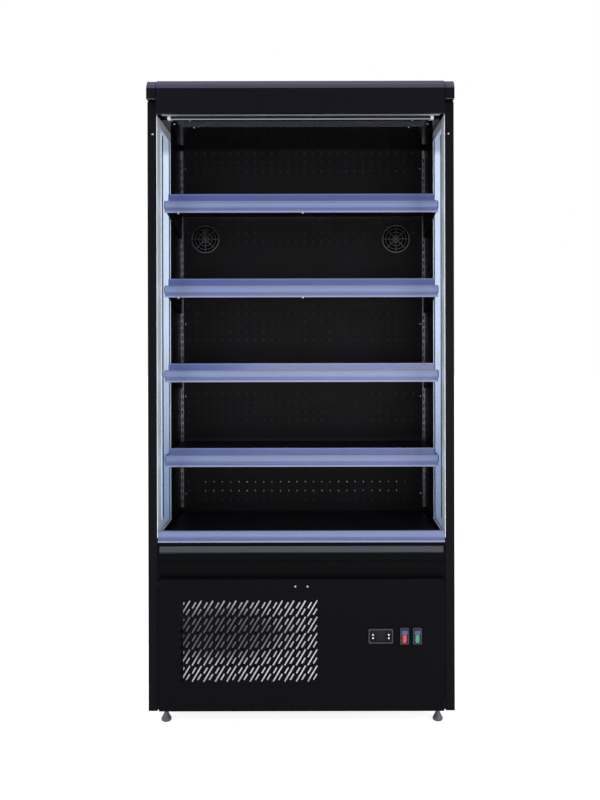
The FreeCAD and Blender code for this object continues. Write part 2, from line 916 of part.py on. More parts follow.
def night_blind():
    """The spring roller behind the fascia, the strip of blind below it and the pull bar."""
    roller_y = front + s.roller_setback
    core = rod("roller_core", s.roller_radius, s.roller_half_length * 2,
               (-s.roller_half_length, roller_y, s.roller_height), "x")
    pin_reach = inner_half + s.roller_pin_depth
    pins = rod("roller_pins", s.roller_pin_radius, pin_reach * 2,
               (-pin_reach, roller_y, s.roller_height), "x")
    node("blind_roller", fused("blind_roller", core, pins))

    fabric_rear = roller_y - s.roller_radius - s.fabric_gap
    fabric_y = (fabric_rear - s.fabric_thickness, fabric_rear)
    node("blind_fabric", block(
        "blind_fabric", (-s.fabric_half_width, s.fabric_half_width), fabric_y,
        (s.pull_bar_top, s.roller_height)))

    middle_y = fabric_rear - s.fabric_thickness / 2
    bar_front = middle_y - s.pull_bar_depth / 2
    bar_rear = middle_y + s.pull_bar_depth / 2
    bar_bottom = s.pull_bar_top - s.pull_bar_height
    node("blind_pull_bar", bar("blind_pull_bar", 0, s.pull_bar_half_length * 2, [
        (bar_front, bar_bottom + s.pull_bar_edge),
        (bar_front, s.pull_bar_top - s.pull_bar_edge),
        (bar_front + s.pull_bar_edge, s.pull_bar_top),
        (bar_rear - s.pull_bar_edge, s.pull_bar_top),
        (bar_rear, s.pull_bar_top - s.pull_bar_edge),
        (bar_rear, bar_bottom + s.pull_bar_edge),
        (bar_rear - s.pull_bar_edge, bar_bottom),
        (bar_front + s.pull_bar_edge, bar_bottom),
    ]))


def front_sill():
    """The sill with its groove, step and apron, its bumper and the deck's price rail."""
    across = (-inner_half, inner_half)
    slab = block("sill_slab", across, (sill_front, sill_rear), (sill_bottom, sill_top))
    groove_top = sill_top - s.groove_below_top
    groove = block("sill_groove", across, (sill_front, sill_front + s.groove_depth),
                   (groove_top - s.groove_height, groove_top))
    step = block("sill_step", across, (sill_front, sill_front + s.groove_depth),
                 (sill_bottom, sill_bottom + s.sill_step_height))
    apron_front = sill_front - s.sill_setback + s.apron_setback
    apron = block("sill_apron", across, (apron_front, apron_front + s.apron_thickness),
                  (sill_bottom - s.apron_drop, sill_bottom))
    node("front_sill", fused("front_sill", cut("grooved_sill", slab, groove, step), apron))

    bumper_top = sill_top - s.bumper_below_top
    bumper_front = sill_front - s.bumper_depth
    bumper_bottom = bumper_top - s.bumper_height
    node("bumper_rail", bar("bumper_rail", 0, (inner_half - s.service_side_gap) * 2, [
        (sill_front, bumper_bottom),
        (bumper_front + s.bumper_edge, bumper_bottom),
        (bumper_front, bumper_bottom + s.bumper_edge),
        (bumper_front, bumper_top - s.bumper_edge),
        (bumper_front + s.bumper_edge, bumper_top),
        (sill_front, bumper_top),
    ]))
    rail_front = front - s.deck_rail_proud
    node("deck_price_rail", ticket_rail(
        "deck_price_rail", s.deck_rail_half_width, rail_front,
        sill_top + s.deck_rail_height, s.deck_rail_height))
    return_air_grille(rail_front + s.rail_depth)


def return_air_grille(grille_front):
    """The slotted cover over the return air duct, with legs at its rear edge."""
    grille_rear = grille_front + s.return_depth
    middle = vector(0, (grille_front + grille_rear) / 2, sill_top)
    half_across = s.deck_half_width
    corners = rectangle(
        middle, ALONG_X * float(half_across), ALONG_Y * float(s.return_depth / 2))
    slot_half = ALONG_Y * float(s.return_depth / 2 - s.return_slot_margin)
    count = int(float(half_across * 2 - s.return_slot_margin * 2) / float(s.return_slot_pitch))
    slots = [
        outline(rectangle(
            middle + ALONG_X * float(s.return_slot_pitch * (number - (count - 1) / 2)),
            ALONG_X * float(s.return_slot_width / 2),
            slot_half,
        ))
        for number in range(count)
    ]
    plate = shaped("return_plate", pierced(corners, slots, ALONG_Z * float(s.return_sheet)))
    legs = [
        block(
            f"return_leg_{number}",
            (leg_x - s.return_leg_width / 2, leg_x + s.return_leg_width / 2),
            (grille_rear - s.return_sheet, grille_rear),
            (floor_top, sill_top + s.return_sheet),
        )
        for number, leg_x in enumerate(
            half_across * ((2 * leg + 1) / RETURN_LEGS - 1) for leg in range(RETURN_LEGS))
    ]
    node("return_air_grille", fused("return_air_grille", plate, *legs))


def deck_pan():
    """The lift-out deck: a sheet on ribs that stand on the foamed floor."""
    pan_front = front - s.deck_rail_proud + s.rail_depth + s.return_depth + s.deck_rear_gap
    pan_rear = upright_front - s.deck_rear_gap
    across = (-s.deck_half_width, s.deck_half_width)
    pan_bottom = deck_top - s.deck_height
    sheet = block("deck_sheet", across, (pan_front, pan_rear), (deck_top - s.deck_sheet, deck_top))
    ribs = [
        block(
            f"deck_rib_{number}",
            (rib_x - s.deck_rib_width / 2, rib_x + s.deck_rib_width / 2),
            (pan_front, pan_rear),
            (pan_bottom, deck_top),
        )
        for number, rib_x in enumerate(
            (s.deck_half_width - s.deck_rib_width / 2) * (2 * rib / (DECK_RIBS - 1) - 1)
            for rib in range(DECK_RIBS))
    ]
    node("deck_pan", fused("deck_pan", sheet, *ribs))


def louvre_slot(x, z, length):
    """One slanted slot in the service panel's face, as a closed outline."""
    slant = math.radians(LOUVRE_SLANT)
    along = FreeCAD.Vector(math.cos(slant), 0, math.sin(slant)) * float(length / 2)
    across = FreeCAD.Vector(-math.sin(slant), 0, math.cos(slant)) * float(s.louvre_slot / 2)
    return outline(rectangle(vector(x, service_front, z), along, across))


def louvre_slots():
    """Rows of long slots, each with a short slot to its upper left and lower right."""
    slots = []
    for row in range(LOUVRE_ROWS):
        z = s.louvre_first_height + s.louvre_pitch_up * row
        for column in range(LOUVRE_COLUMNS):
            x = s.louvre_first_x + s.louvre_pitch_across * column
            slots.append(louvre_slot(x, z, s.louvre_long))
            for side in (-1, 1):
                slots.append(louvre_slot(
                    x + side * s.louvre_short_across,
                    z - side * s.louvre_short_up,
                    s.louvre_short,
                ))
    return slots


def switch_places():
    """The middles of the two rocker switches across the panel."""
    return (s.switch_1_x, s.switch_2_x)


def service_panel():
    """The pan-shaped cover of the machine compartment, with slots and cut-outs."""
    half = inner_half - s.service_side_gap
    middle = vector(0, service_front, (service_bottom + service_top) / 2)
    corners = rectangle(middle, ALONG_X * float(half), ALONG_Z * float(s.service_height / 2))
    openings = louvre_slots()
    cutouts = [(s.controller_x, s.controller_body_width, s.controller_body_height)]
    cutouts += [(x, s.switch_body_width, s.switch_body_height) for x in switch_places()]
    for x, width, height in cutouts:
        openings.append(outline(rectangle(
            vector(x, service_front, s.control_height),
            ALONG_X * float(width / 2 + s.cutout_gap),
            ALONG_Z * float(height / 2 + s.cutout_gap),
        )))
    face = shaped("service_face", pierced(corners, openings, ALONG_Y * float(s.service_sheet)))
    fold_y = (service_front, service_front + s.service_flange)
    heights = (service_bottom, service_top)
    flanges = [
        block("service_left_fold", (-half, -half + s.service_sheet), fold_y, heights),
        block("service_right_fold", (half - s.service_sheet, half), fold_y, heights),
        block("service_foot_fold", (-half, half), fold_y,
              (service_bottom, service_bottom + s.service_sheet)),
        block("service_top_fold", (-half, half), fold_y,
              (service_top - s.service_sheet, service_top)),
    ]
    tabs = [
        block(
            f"service_tab_{number}",
            (low_x, low_x + s.service_side_gap + s.service_sheet),
            (front, front + s.service_sheet),
            (service_bottom + s.service_flange, service_top - s.service_flange),
        )
        for number, low_x in enumerate((-inner_half, half - s.service_sheet))
    ]
    node("service_panel", fused("service_panel", face, *flanges, *tabs))


def control_bezels():
    """The controller's housing and the frames of the two rocker switches."""
    bezel_y = (service_front - s.bezel_depth, service_front)
    low_x = s.controller_x - s.controller_width / 2
    half_up = s.controller_bezel_height / 2
    bezel = block("controller_bezel", (low_x, low_x + s.controller_width), bezel_y,
                  (s.control_height - half_up, s.control_height + half_up))
    rounded = doc.addObject("Part::Fillet", "controller_rounded_bezel")
    rounded.Base = bezel
    doc.recompute()
    upright_edges = [
        number for number, edge in enumerate(bezel.Shape.Edges, start=1)
        if abs(edge.tangentAt(edge.FirstParameter).y) > 1 - 1e-6
    ]
    corner = float(s.bezel_corner)
    rounded.Edges = [(number, corner, corner) for number in upright_edges]
    body_half = s.controller_body_width / 2
    body_up = s.controller_body_height / 2
    body = block(
        "controller_body",
        (s.controller_x - body_half, s.controller_x + body_half),
        (service_front, service_front + s.controller_body_depth),
        (s.control_height - body_up, s.control_height + body_up),
    )
    screen_half = s.screen_width / 2
    screen = block(
        "controller_screen_recess",
        (s.controller_x - screen_half, s.controller_x + screen_half),
        (bezel_y[0], bezel_y[0] + s.screen_recess),
        (s.control_height - s.screen_height / 2, s.control_height + s.screen_height / 2),
    )
    pockets = [
        rod(f"button_pocket_{number}", s.button_hole_radius, s.button_pocket,
            (x, bezel_y[0], z), "y")
        for number, (x, z) in button_places().items()
    ]
    controller = cut(
        "controller_housing", fused("controller_blank", rounded, body), screen, *pockets)
    frames = [switch_frame(number, x) for number, x in enumerate(switch_places(), start=1)]
    node("control_bezels", together("control_bezels", controller, *frames))


def switch_frame(number, x):
    """A rocker switch's frame: a raised rim, an open box behind the panel and two pin holes."""
    name = f"switch_frame_{number}"
    rim_y = (service_front - s.bezel_depth, service_front)
    body_y = (service_front, service_front + s.switch_body_depth)
    centre = s.control_height

    def slab(part, width, height, depth):
        return block(f"{name}_{part}", (x - width / 2, x + width / 2), depth,
                     (centre - height / 2, centre + height / 2))

    rim = slab("rim", s.switch_width, s.switch_height, rim_y)
    body = slab("body", s.switch_body_width, s.switch_body_height, body_y)
    well_y = (rim_y[0], body_y[1] - s.service_sheet)
    well = slab("well", s.switch_opening_width, s.switch_opening_height, well_y)
    half_pins = s.switch_opening_width / 2 + s.rocker_pin_recess
    pin_holes = rod(f"{name}_pin_holes", s.rocker_pin_radius + s.rocker_pin_gap, half_pins * 2,
                    (x - half_pins, service_front + s.rocker_pivot_behind, centre), "x")
    return cut(name, fused(f"{name}_blank", rim, body), well, pin_holes)


def button_places():
    """Each controller button's middle, numbered from the upper left."""
    across = s.button_spacing_across / 2
    up = s.button_spacing_up / 2
    places = [(-across, up), (-across, -up), (across, up), (across, -up)]
    return {
        number: (s.controller_x + x, s.control_height + z)
        for number, (x, z) in enumerate(places, start=1)
    }


def controller_buttons():
    """Four round push buttons beside the display."""
    start_y = service_front - s.bezel_depth - s.button_proud
    for number, (x, z) in button_places().items():
        name = f"controller_button_{number}"
        node(name, rod(name, s.button_radius, s.button_length, (x, start_y, z), "y"))


def rocker(name, x):
    """A rocker with a shallow V face, tipped to its on side about its pivot pins."""
    pivot_y = float(service_front + s.rocker_pivot_behind)
    half = float(s.rocker_half_height)
    proud = float(s.rocker_proud)
    dip = float(s.rocker_dip)
    back = float(s.rocker_back)
    left = float(x - s.rocker_width / 2)
    section = [
        (-proud, half), (dip - proud, 0), (-proud, -half),
        (0, -half), (back, -half / 2), (back, half / 2), (0, half),
    ]
    wire = outline([
        FreeCAD.Vector(left, pivot_y + y, float(s.control_height) + z) for y, z in section
    ])
    solid = Part.Face(wire).extrude(ALONG_X * float(s.rocker_width))
    solid.rotate(vector(0, pivot_y, s.control_height), ALONG_X, float(s.rocker_tilt))
    pins = Part.makeCylinder(
        float(s.rocker_pin_radius),
        float(s.rocker_width + s.rocker_pin_length * 2),
        vector(left - s.rocker_pin_length, pivot_y, s.control_height),
        ALONG_X,
    )
    node(name, shaped(name, solid.fuse(pins)))


def base_frame():
    """The steel base tray with a threaded boss over each levelling foot."""
    across = (-inner_half, inner_half)
    upstand_top = frame_top + s.frame_upstand
    blank = block("frame_blank", across, (frame_front, rear), (s.under_gap, upstand_top))
    hollow = block(
        "frame_hollow",
        (-inner_half + s.frame_sheet, inner_half - s.frame_sheet),
        (frame_front + s.frame_sheet, rear - s.frame_sheet),
        (frame_top, upstand_top),
    )
    tray = cut("frame_tray", blank, hollow)
    bosses = []
    bores = []
    for name, (x, y) in foot_places().items():
        half = s.boss_side / 2
        bosses.append(block(f"{name}_boss", (x - half, x + half), (y - half, y + half),
                            (s.under_gap, s.under_gap + s.boss_height)))
        bores.append(rod(f"{name}_bore", s.foot_stem_radius + s.foot_bore_gap, s.boss_height,
                         (x, y, s.under_gap)))
    node("base_frame", cut("base_frame", fused("frame_with_bosses", tray, *bosses), *bores))


def foot_places():
    """Where each levelling foot stands, by its node's name."""
    x = inner_half - s.boss_side / 2
    low_y = front + s.foot_inset
    high_y = rear - s.foot_inset
    return {
        "foot_front_left": (-x, low_y),
        "foot_front_right": (x, low_y),
        "foot_rear_left": (-x, high_y),
        "foot_rear_right": (x, high_y),
    }


def foot(name, x, y):
    """A levelling foot: a cone on a rim, a threaded stem and its lock nut."""
    rim = rod(f"{name}_rim", s.foot_radius, s.foot_rim, (x, y, 0))
    cone = doc.addObject("Part::Cone", f"{name}_cone")
    cone.setExpression("Radius1", s.foot_radius.text)
    cone.setExpression("Radius2", s.foot_neck_radius.text)
    cone.setExpression("Height", (s.foot_cone_height - s.foot_rim).text)
    place(cone, x, y, s.foot_rim)
    stem = rod(f"{name}_stem", s.foot_stem_radius, s.under_gap + s.foot_stem_reach, (x, y, 0))
    nut = doc.addObject("Part::Prism", f"{name}_nut")
    nut.Polygon = 6
    nut.setExpression("Circumradius", s.nut_radius.text)
    nut.setExpression("Height", s.nut_height.text)
    place(nut, x, y, s.under_gap - s.nut_gap)
    node(name, fused(name, rim, cone, stem, nut))


def fins_and_tubes(name, across, depth, heights, tubes, tube_pitch):
    """A finned coil: thin fins between two end plates, on rows of tubes."""
    low_x, high_x = (float(value) for value in across)
    low_y, high_y = (float(value) for value in depth)
    low_z, high_z = (float(value) for value in heights)
    plate = float(s.coil_plate)
    fin = float(s.fin_thickness)
    count = int((high_x - low_x) / float(s.fin_pitch))
    step = (high_x - low_x) / count
    pieces = []
    for number in range(1, count):
        corner = FreeCAD.Vector(low_x + step * number - fin / 2, low_y, low_z)
        pieces.append(Part.makeBox(fin, high_y - low_y, high_z - low_z, corner))
    for x in (low_x, high_x - plate):
        pieces.append(Part.makeBox(plate, high_y - low_y, high_z - low_z,
                                   FreeCAD.Vector(x, low_y, low_z)))
    middle_y = (low_y + high_y) / 2
    middle_z = (low_z + high_z) / 2
    radius = float(s.coil_tube_radius)
    for number in range(tubes):
        z = middle_z + float(tube_pitch) * (number - (tubes - 1) / 2)
        start = FreeCAD.Vector(low_x - plate, middle_y, z)
        pieces.append(Part.makeCylinder(radius, high_x - low_x + plate * 2, start, ALONG_X))
    return shaped(name, pieces[0].multiFuse(pieces[1:]))


def condenser_front():
    """The front of the condenser coil, behind the service panel."""
    return front + s.condenser_setback


def condenser():
    """The condenser coil on two legs, the shroud behind it and the fan motor on its bridge."""
    low_y = condenser_front()
    high_y = low_y + s.condenser_depth
    across = (s.condenser_x - s.condenser_half_width, s.condenser_x + s.condenser_half_width)
    top = s.condenser_bottom + s.condenser_height
    coil = fins_and_tubes("condenser_fins", across, (low_y, high_y), (s.condenser_bottom, top),
                          CONDENSER_TUBES, s.coil_tube_pitch)
    legs = [
        block(f"condenser_leg_{number}", (x, x + s.coil_plate), (low_y, high_y), (frame_top, top))
        for number, x in enumerate((across[0], across[1] - s.coil_plate))
    ]
    node("condenser_coil", fused("condenser_coil", coil, *legs))

    middle = vector(s.condenser_x, high_y, (s.condenser_bottom + top) / 2)
    corners = rectangle(
        middle,
        ALONG_X * float(s.condenser_half_width),
        ALONG_Z * float(s.condenser_height / 2),
    )
    fan_middle = vector(s.condenser_x, high_y, s.fan_height)
    opening = round_wire(fan_middle, ALONG_Y, s.fan_opening_radius)
    plate = shaped("shroud_plate", pierced(corners, [opening], ALONG_Y * float(s.shroud_sheet)))
    bridge_y = high_y + s.shroud_depth + s.fan_hub_length + s.fan_gap
    bridge_z = (s.fan_height - s.bridge_width / 2, s.fan_height + s.bridge_width / 2)
    reach = s.bridge_half_length
    bridge = block("bridge", (s.condenser_x - reach, s.condenser_x + reach),
                   (bridge_y, bridge_y + s.bridge_sheet), bridge_z)
    struts = [
        block(f"bridge_strut_{number}", (x, x + s.bridge_sheet), (high_y, bridge_y + s.bridge_sheet),
              bridge_z)
        for number, x in enumerate(
            (s.condenser_x - reach, s.condenser_x + reach - s.bridge_sheet))
    ]
    shaft_start = high_y + s.shroud_depth
    shaft_hole = rod("bridge_shaft_hole", s.fan_shaft_radius, s.bridge_sheet,
                     (s.condenser_x, bridge_y, s.fan_height), "y")
    shroud = cut("fan_shroud", fused("shroud_blank", plate, bridge, *struts), shaft_hole)
    motor = fused(
        "fan_motor",
        rod("motor_can", s.motor_radius, s.motor_length,
            (s.condenser_x, bridge_y + s.bridge_sheet, s.fan_height), "y"),
        rod("motor_shaft", s.fan_shaft_radius, bridge_y + s.bridge_sheet - shaft_start,
            (s.condenser_x, shaft_start, s.fan_height), "y"),
    )
    node("condenser_fan_shroud", together("condenser_fan_shroud", shroud, motor))
    node("condenser_fan", fan(
        "condenser_fan", vector(s.condenser_x, shaft_start, s.fan_height), s.fan_radius,
        s.fan_hub_radius, s.fan_hub_length, s.fan_blade_chord, s.fan_blade_thickness,
        s.fan_shaft_radius, CONDENSER_BLADES))


def fan(name, start, radius, hub_radius, hub_length, chord, thickness, shaft_radius, blades):
    """An axial fan on a hub that turns on its motor's shaft, along +Y from its start."""
    length = float(hub_length)
    hub = Part.makeCylinder(float(hub_radius), length, start, ALONG_Y)
    root = float(hub_radius) / 2
    pieces = []
    for number in range(blades):
        blade = Part.makeBox(
            float(chord), float(thickness), float(radius) - root,
            FreeCAD.Vector(-float(chord) / 2, -float(thickness) / 2, root))
        blade.rotate(FreeCAD.Vector(), ALONG_Z, float(s.fan_blade_pitch))
        blade.translate(start + ALONG_Y * (length / 2))
        blade.rotate(start, ALONG_Y, 360 * number / blades)
        pieces.append(blade)
    swept = Part.makeCylinder(float(radius), length, start, ALONG_Y)
    bore = Part.makeCylinder(float(shaft_radius + s.shaft_clearance), length, start, ALONG_Y)
    return shaped(name, hub.multiFuse(pieces).common(swept).cut(bore).removeSplitter())


def compressor():
    """A hermetic compressor on rubber grommets, with its terminal cover."""
    plate_z = frame_top + s.compressor_rise
    shell_z = plate_z + s.compressor_plate
    x = s.compressor_x
    y = s.compressor_y
    plate = block(
        "compressor_plate",
        (x - s.compressor_plate_length / 2, x + s.compressor_plate_length / 2),
        (y - s.compressor_plate_width / 2, y + s.compressor_plate_width / 2),
        (plate_z, shell_z),
    )
    shell = rod("compressor_shell", s.compressor_radius, s.compressor_height + s.compressor_dome,
                (x, y, shell_z))
    dome = doc.addObject("Part::Ellipsoid", "compressor_dome")
    dome.setExpression("Radius1", s.compressor_dome.text)
    dome.setExpression("Radius2", s.compressor_radius.text)
    dome.setExpression("Radius3", s.compressor_radius.text)
    place(dome, x, y, shell_z + s.compressor_height + s.compressor_dome)
    terminal_x = x + s.compressor_radius - s.terminal_depth / 2
    terminal_z = shell_z + s.compressor_dome
    terminal = block(
        "terminal_cover",
        (terminal_x, terminal_x + s.terminal_depth),
        (y - s.terminal_width / 2, y + s.terminal_width / 2),
        (terminal_z, terminal_z + s.terminal_height),
    )
    grommets = [
        rod(f"grommet_{number}", s.grommet_radius, s.compressor_rise,
            (x + side_x * (s.compressor_plate_length / 2 - s.grommet_inset),
             y + side_y * (s.compressor_plate_width / 2 - s.grommet_inset), frame_top))
        for number, (side_x, side_y) in enumerate(((-1, -1), (1, -1), (-1, 1), (1, 1)))
    ]
    node("compressor", fused("compressor", plate, shell, dome, terminal, *grommets))


def condensate_tray():
    """The open tray that catches and evaporates the defrost water."""
    low_x = s.water_tray_x - s.water_tray_length / 2
    high_y = rear - s.water_tray_rear_gap
    wall = s.water_tray_wall
    across = (low_x, low_x + s.water_tray_length)
    depth = (high_y - s.water_tray_width, high_y)
    top = frame_top + s.water_tray_height
    blank = block("water_tray_blank", across, depth, (frame_top, top))
    hollow = block("water_tray_hollow", (across[0] + wall, across[1] - wall),
                   (depth[0] + wall, depth[1] - wall), (frame_top + wall, top))
    node("condensate_tray", cut("condensate_tray", blank, hollow))


def pipe(points):
    """A round pipe through the given points, with an arc at each turn."""
    bend = float(s.pipe_bend)
    edges = []
    start = points[0]
    for before, corner, after in zip(points, points[1:], points[2:]):
        into = (corner - before).normalize()
        out = (after - corner).normalize()
        setback = bend * math.tan(into.getAngle(out) / 2)
        arc_start = corner - into * setback
        arc_end = corner + out * setback
        centre = arc_start + (out - into * into.dot(out)).normalize() * bend
        middle = centre + (corner - centre).normalize() * bend
        edges.append(Part.LineSegment(start, arc_start).toShape())
        edges.append(Part.Arc(arc_start, middle, arc_end).toShape())
        start = arc_end
    edges.append(Part.LineSegment(start, points[-1]).toShape())
    section = round_wire(points[0], points[1] - points[0], s.pipe_radius)
    return Part.Wire(edges).makePipeShell([section], True, False)


def refrigerant_lines():
    """Pipes from the compressor to the condenser, and up the duct to the evaporator and back."""
    shell_z = frame_top + s.compressor_rise + s.compressor_plate
    dome_top = shell_z + s.compressor_height + s.compressor_dome * 2
    shell_rear = s.compressor_y + s.compressor_radius
    condenser_side = s.condenser_x + s.condenser_half_width + s.coil_plate
    condenser_y = condenser_front() + s.condenser_depth / 2
    condenser_mid = s.condenser_bottom + s.condenser_height / 2
    tube_reach = s.coil_tube_pitch * ((CONDENSER_TUBES - 1) / 2)
    rise = pipe_y()
    evaporator_side = s.evaporator_half_width + s.coil_plate
    evaporator_mid = s.evaporator_bottom + s.evaporator_height / 2
    evaporator_reach = s.coil_tube_pitch * ((EVAPORATOR_TUBES - 1) / 2)
    outer_x = s.pipe_rise_x + s.pipe_spacing
    side_z = shell_z + s.compressor_height
    discharge = [
        vector(s.compressor_x, s.compressor_y, dome_top),
        vector(s.compressor_x, s.compressor_y, condenser_mid + tube_reach),
        vector(s.compressor_x, condenser_y, condenser_mid + tube_reach),
        vector(condenser_side, condenser_y, condenser_mid + tube_reach),
    ]
    liquid = [
        vector(condenser_side, condenser_y, condenser_mid - tube_reach),
        vector(outer_x, condenser_y, condenser_mid - tube_reach),
        vector(outer_x, rise, condenser_mid - tube_reach),
        vector(outer_x, rise, evaporator_mid + evaporator_reach),
        vector(evaporator_side, rise, evaporator_mid + evaporator_reach),
    ]
    suction = [
        vector(s.compressor_x, shell_rear, side_z),
        vector(s.compressor_x, rise, side_z),
        vector(s.pipe_rise_x, rise, side_z),
        vector(s.pipe_rise_x, rise, evaporator_mid - evaporator_reach),
        vector(evaporator_side, rise, evaporator_mid - evaporator_reach),
    ]
    routes = {"discharge_pipe": discharge, "liquid_pipe": liquid, "suction_pipe": suction}
    pipes = [shaped(name, pipe(points)) for name, points in routes.items()]
    node("refrigerant_lines", together("refrigerant_lines", *pipes))


def evaporator():
    """The finned evaporator across the duct, held by end plates as deep as the duct."""
    middle = pipe_y()
    depth = (middle - s.evaporator_depth / 2, middle + s.evaporator_depth / 2)
    across = (-s.evaporator_half_width, s.evaporator_half_width)
    heights = (s.evaporator_bottom, s.evaporator_bottom + s.evaporator_height)
    coil = fins_and_tubes("evaporator_fins", across, depth, heights, EVAPORATOR_TUBES,
                          s.coil_tube_pitch)
    plates = [
        block(f"evaporator_plate_{number}", (x, x + s.coil_plate),
              (back_panel_rear, rear_wall_front), heights)
        for number, x in enumerate((across[0], across[1] - s.coil_plate))
    ]
    node("evaporator_coil", fused("evaporator_coil", coil, *plates))


def duct_fans():
    """A fan in each round opening of the back panel, with its motor post and finger guard."""
    housings = []
    for side, x in zip(("left", "right"), duct_fan_places()):
        height = s.duct_fan_height
        fan_start = back_panel_rear + s.duct_fan_gap
        hub_end = fan_start + s.duct_hub_length
        motor_start = hub_end + s.duct_fan_gap
        motor_end = motor_start + s.duct_motor_length
        housings.append(fused(
            f"{side}_duct_motor",
            rod(f"{side}_duct_shaft", s.duct_shaft_radius, motor_start - fan_start,
                (x, fan_start, height), "y"),
            rod(f"{side}_duct_can", s.duct_motor_radius, s.duct_motor_length,
                (x, motor_start, height), "y"),
            rod(f"{side}_duct_post", s.duct_motor_post_radius, rear_wall_front - motor_end,
                (x, motor_end, height), "y"),
        ))
        housings.append(fan_guard(f"{side}_fan_guard", x, height))
        node(f"evaporator_fan_{side}", fan(
            f"evaporator_fan_{side}", vector(x, fan_start, height), s.duct_fan_radius,
            s.duct_hub_radius, s.duct_hub_length, s.duct_blade_chord, s.duct_blade_thickness,
            s.duct_shaft_radius, DUCT_BLADES))
    node("evaporator_fan_housings", together("evaporator_fan_housings", *housings))


def fan_guard(name, x, height):
    """A round guard of rings and spokes on the front of the back panel."""
    start = vector(x, back_panel_front - s.guard_depth, height)
    depth = float(s.guard_depth)
    wire = float(s.guard_wire)

    def ring(outer, width):
        solid = Part.makeCylinder(outer, depth, start, ALONG_Y)
        return solid.cut(Part.makeCylinder(outer - width, depth, start, ALONG_Y))

    outer = float(s.guard_radius)
    pieces = [ring(outer, float(s.guard_ring))]
    for number in range(1, GUARD_RINGS + 1):
        pieces.append(ring(outer * number / (GUARD_RINGS + 1), wire))
    for number in range(GUARD_SPOKES):
        spoke = Part.makeBox((outer - wire) * 2, depth, wire)
        spoke.translate(start - FreeCAD.Vector(outer - wire, 0, wire / 2))
        spoke.rotate(start, ALONG_Y, 180 * number / GUARD_SPOKES)
        pieces.append(spoke)
    return shaped(name, pieces[0].multiFuse(pieces[1:]))


def rear_grille():
    """The slotted sheet that closes the back of the machine compartment."""
    grille_y = rear - s.grille_setback - s.grille_sheet
    middle_z = (frame_top + floor_bottom) / 2
    middle = vector(0, grille_y, middle_z)
    half_across = inner_half - s.frame_sheet - s.grille_side_gap
    corners = rectangle(
        middle, ALONG_X * float(half_across), ALONG_Z * float((floor_bottom - frame_top) / 2))
    gland = vector(s.wiring_box_x, grille_y, gland_height())
    slots = [round_wire(gland, ALONG_Y, s.gland_radius + s.gland_hole_gap)]
    half_slot = ALONG_X * float(s.grille_slot_length / 2)
    half_tall = ALONG_Z * float(s.grille_slot_height / 2)
    clear = float(s.grille_slot_pitch_up)
    for row in range(GRILLE_ROWS):
        up = float(s.grille_slot_pitch_up) * (row - (GRILLE_ROWS - 1) / 2)
        for column in range(GRILLE_COLUMNS):
            across = float(s.grille_slot_pitch_across) * (column - (GRILLE_COLUMNS - 1) / 2)
            centre = middle + ALONG_X * across + ALONG_Z * up
            beside = abs(centre.x - gland.x) > half_slot.Length + clear
            if beside or abs(centre.z - gland.z) > clear:
                slots.append(outline(rectangle(centre, half_slot, half_tall)))
    sheet = pierced(corners, slots, ALONG_Y * float(s.grille_sheet))
    node("rear_grille", shaped("rear_grille", sheet))
    electrical_box(grille_y)


def gland_height():
    """The height of the mains cable gland, in the middle of the wiring box."""
    return s.wiring_box_bottom + s.wiring_box_height / 2


def electrical_box(grille_y):
    """The wiring box behind the rear grille, with the gland for the mains cable."""
    low_x = s.wiring_box_x - s.wiring_box_length / 2
    box = block("wiring_box", (low_x, low_x + s.wiring_box_length),
                (grille_y - s.wiring_box_width, grille_y),
                (s.wiring_box_bottom, s.wiring_box_bottom + s.wiring_box_height))
    gland = rod("mains_gland", s.gland_radius, rear - grille_y,
                (s.wiring_box_x, grille_y, gland_height()), "y")
    bore = rod("gland_bore", s.gland_bore_radius, s.gland_bore_length,
               (s.wiring_box_x, rear - s.gland_bore_length, gland_height()), "y")
    node("electrical_box", cut("electrical_box", fused("wiring_box_and_gland", box, gland), bore))


def screw_places():
    """The middle and outward direction of each screw head."""
    forward = -ALONG_Y
    down = -ALONG_Z
    outlet_front = front + s.outlet_front
    outlet_rear = outlet_front + s.outlet_depth
    front_strip = outlet_front - s.soffit_screw_gap
    rear_strip = outlet_rear + s.soffit_screw_gap
    places = []
    for side in (-1, 1):
        for row in PANEL_SCREW_ROWS:
            height = getattr(s, f"panel_screw_{row}_height")
            places.append((vector(side * s.panel_screw_x, back_panel_front, height), forward))
        stile_x = side * (half_width - s.stile_screw_inset)
        places.append((vector(stile_x, front, s.stile_screw_height), forward))
        panel_top = service_top - s.service_flange
        places.append((vector(side * s.service_screw_x, service_front, panel_top), forward))
        for x, y in (
            (s.soffit_outer_screw_x, front_strip),
            (s.soffit_outer_screw_x, (outlet_front + outlet_rear) / 2),
            (s.soffit_inner_screw_x, front_strip),
            (s.soffit_inner_screw_x, rear_strip),
        ):
            places.append((vector(side * x, y, s.soffit_height), down))
    return places


def panel_screws():
    """Low round screw heads on the panels that they hold."""
    heads = [
        shaped(f"screw_head_{number}", Part.makeCylinder(
            float(s.screw_radius), float(s.screw_head), middle, outward))
        for number, (middle, outward) in enumerate(screw_places(), start=1)
    ]
    node("panel_screws", together("panel_screws", *heads))


def checked(piece):
    """Stop if a finished sub-part has no sound shape."""
    if piece.Shape.isNull() or not piece.Shape.isValid():
        raise RuntimeError(f"{piece.Label} has no valid shape")
    return piece


end_panel()
side_windows()
foamed_walls()
inner_back_panel()
shelf_uprights()
for shelf_number in SHELVES:
    shelf(shelf_number)
canopy()
canopy_soffit()
night_blind()
front_sill()
deck_pan()
service_panel()
control_bezels()
controller_buttons()
rocker("power_rocker", s.switch_1_x)
rocker("light_rocker", s.switch_2_x)
base_frame()
for foot_name, foot_place in foot_places().items():
    foot(foot_name, *foot_place)
condenser()
compressor()
condensate_tray()
refrigerant_lines()
evaporator()
duct_fans()
rear_grille()
panel_screws()

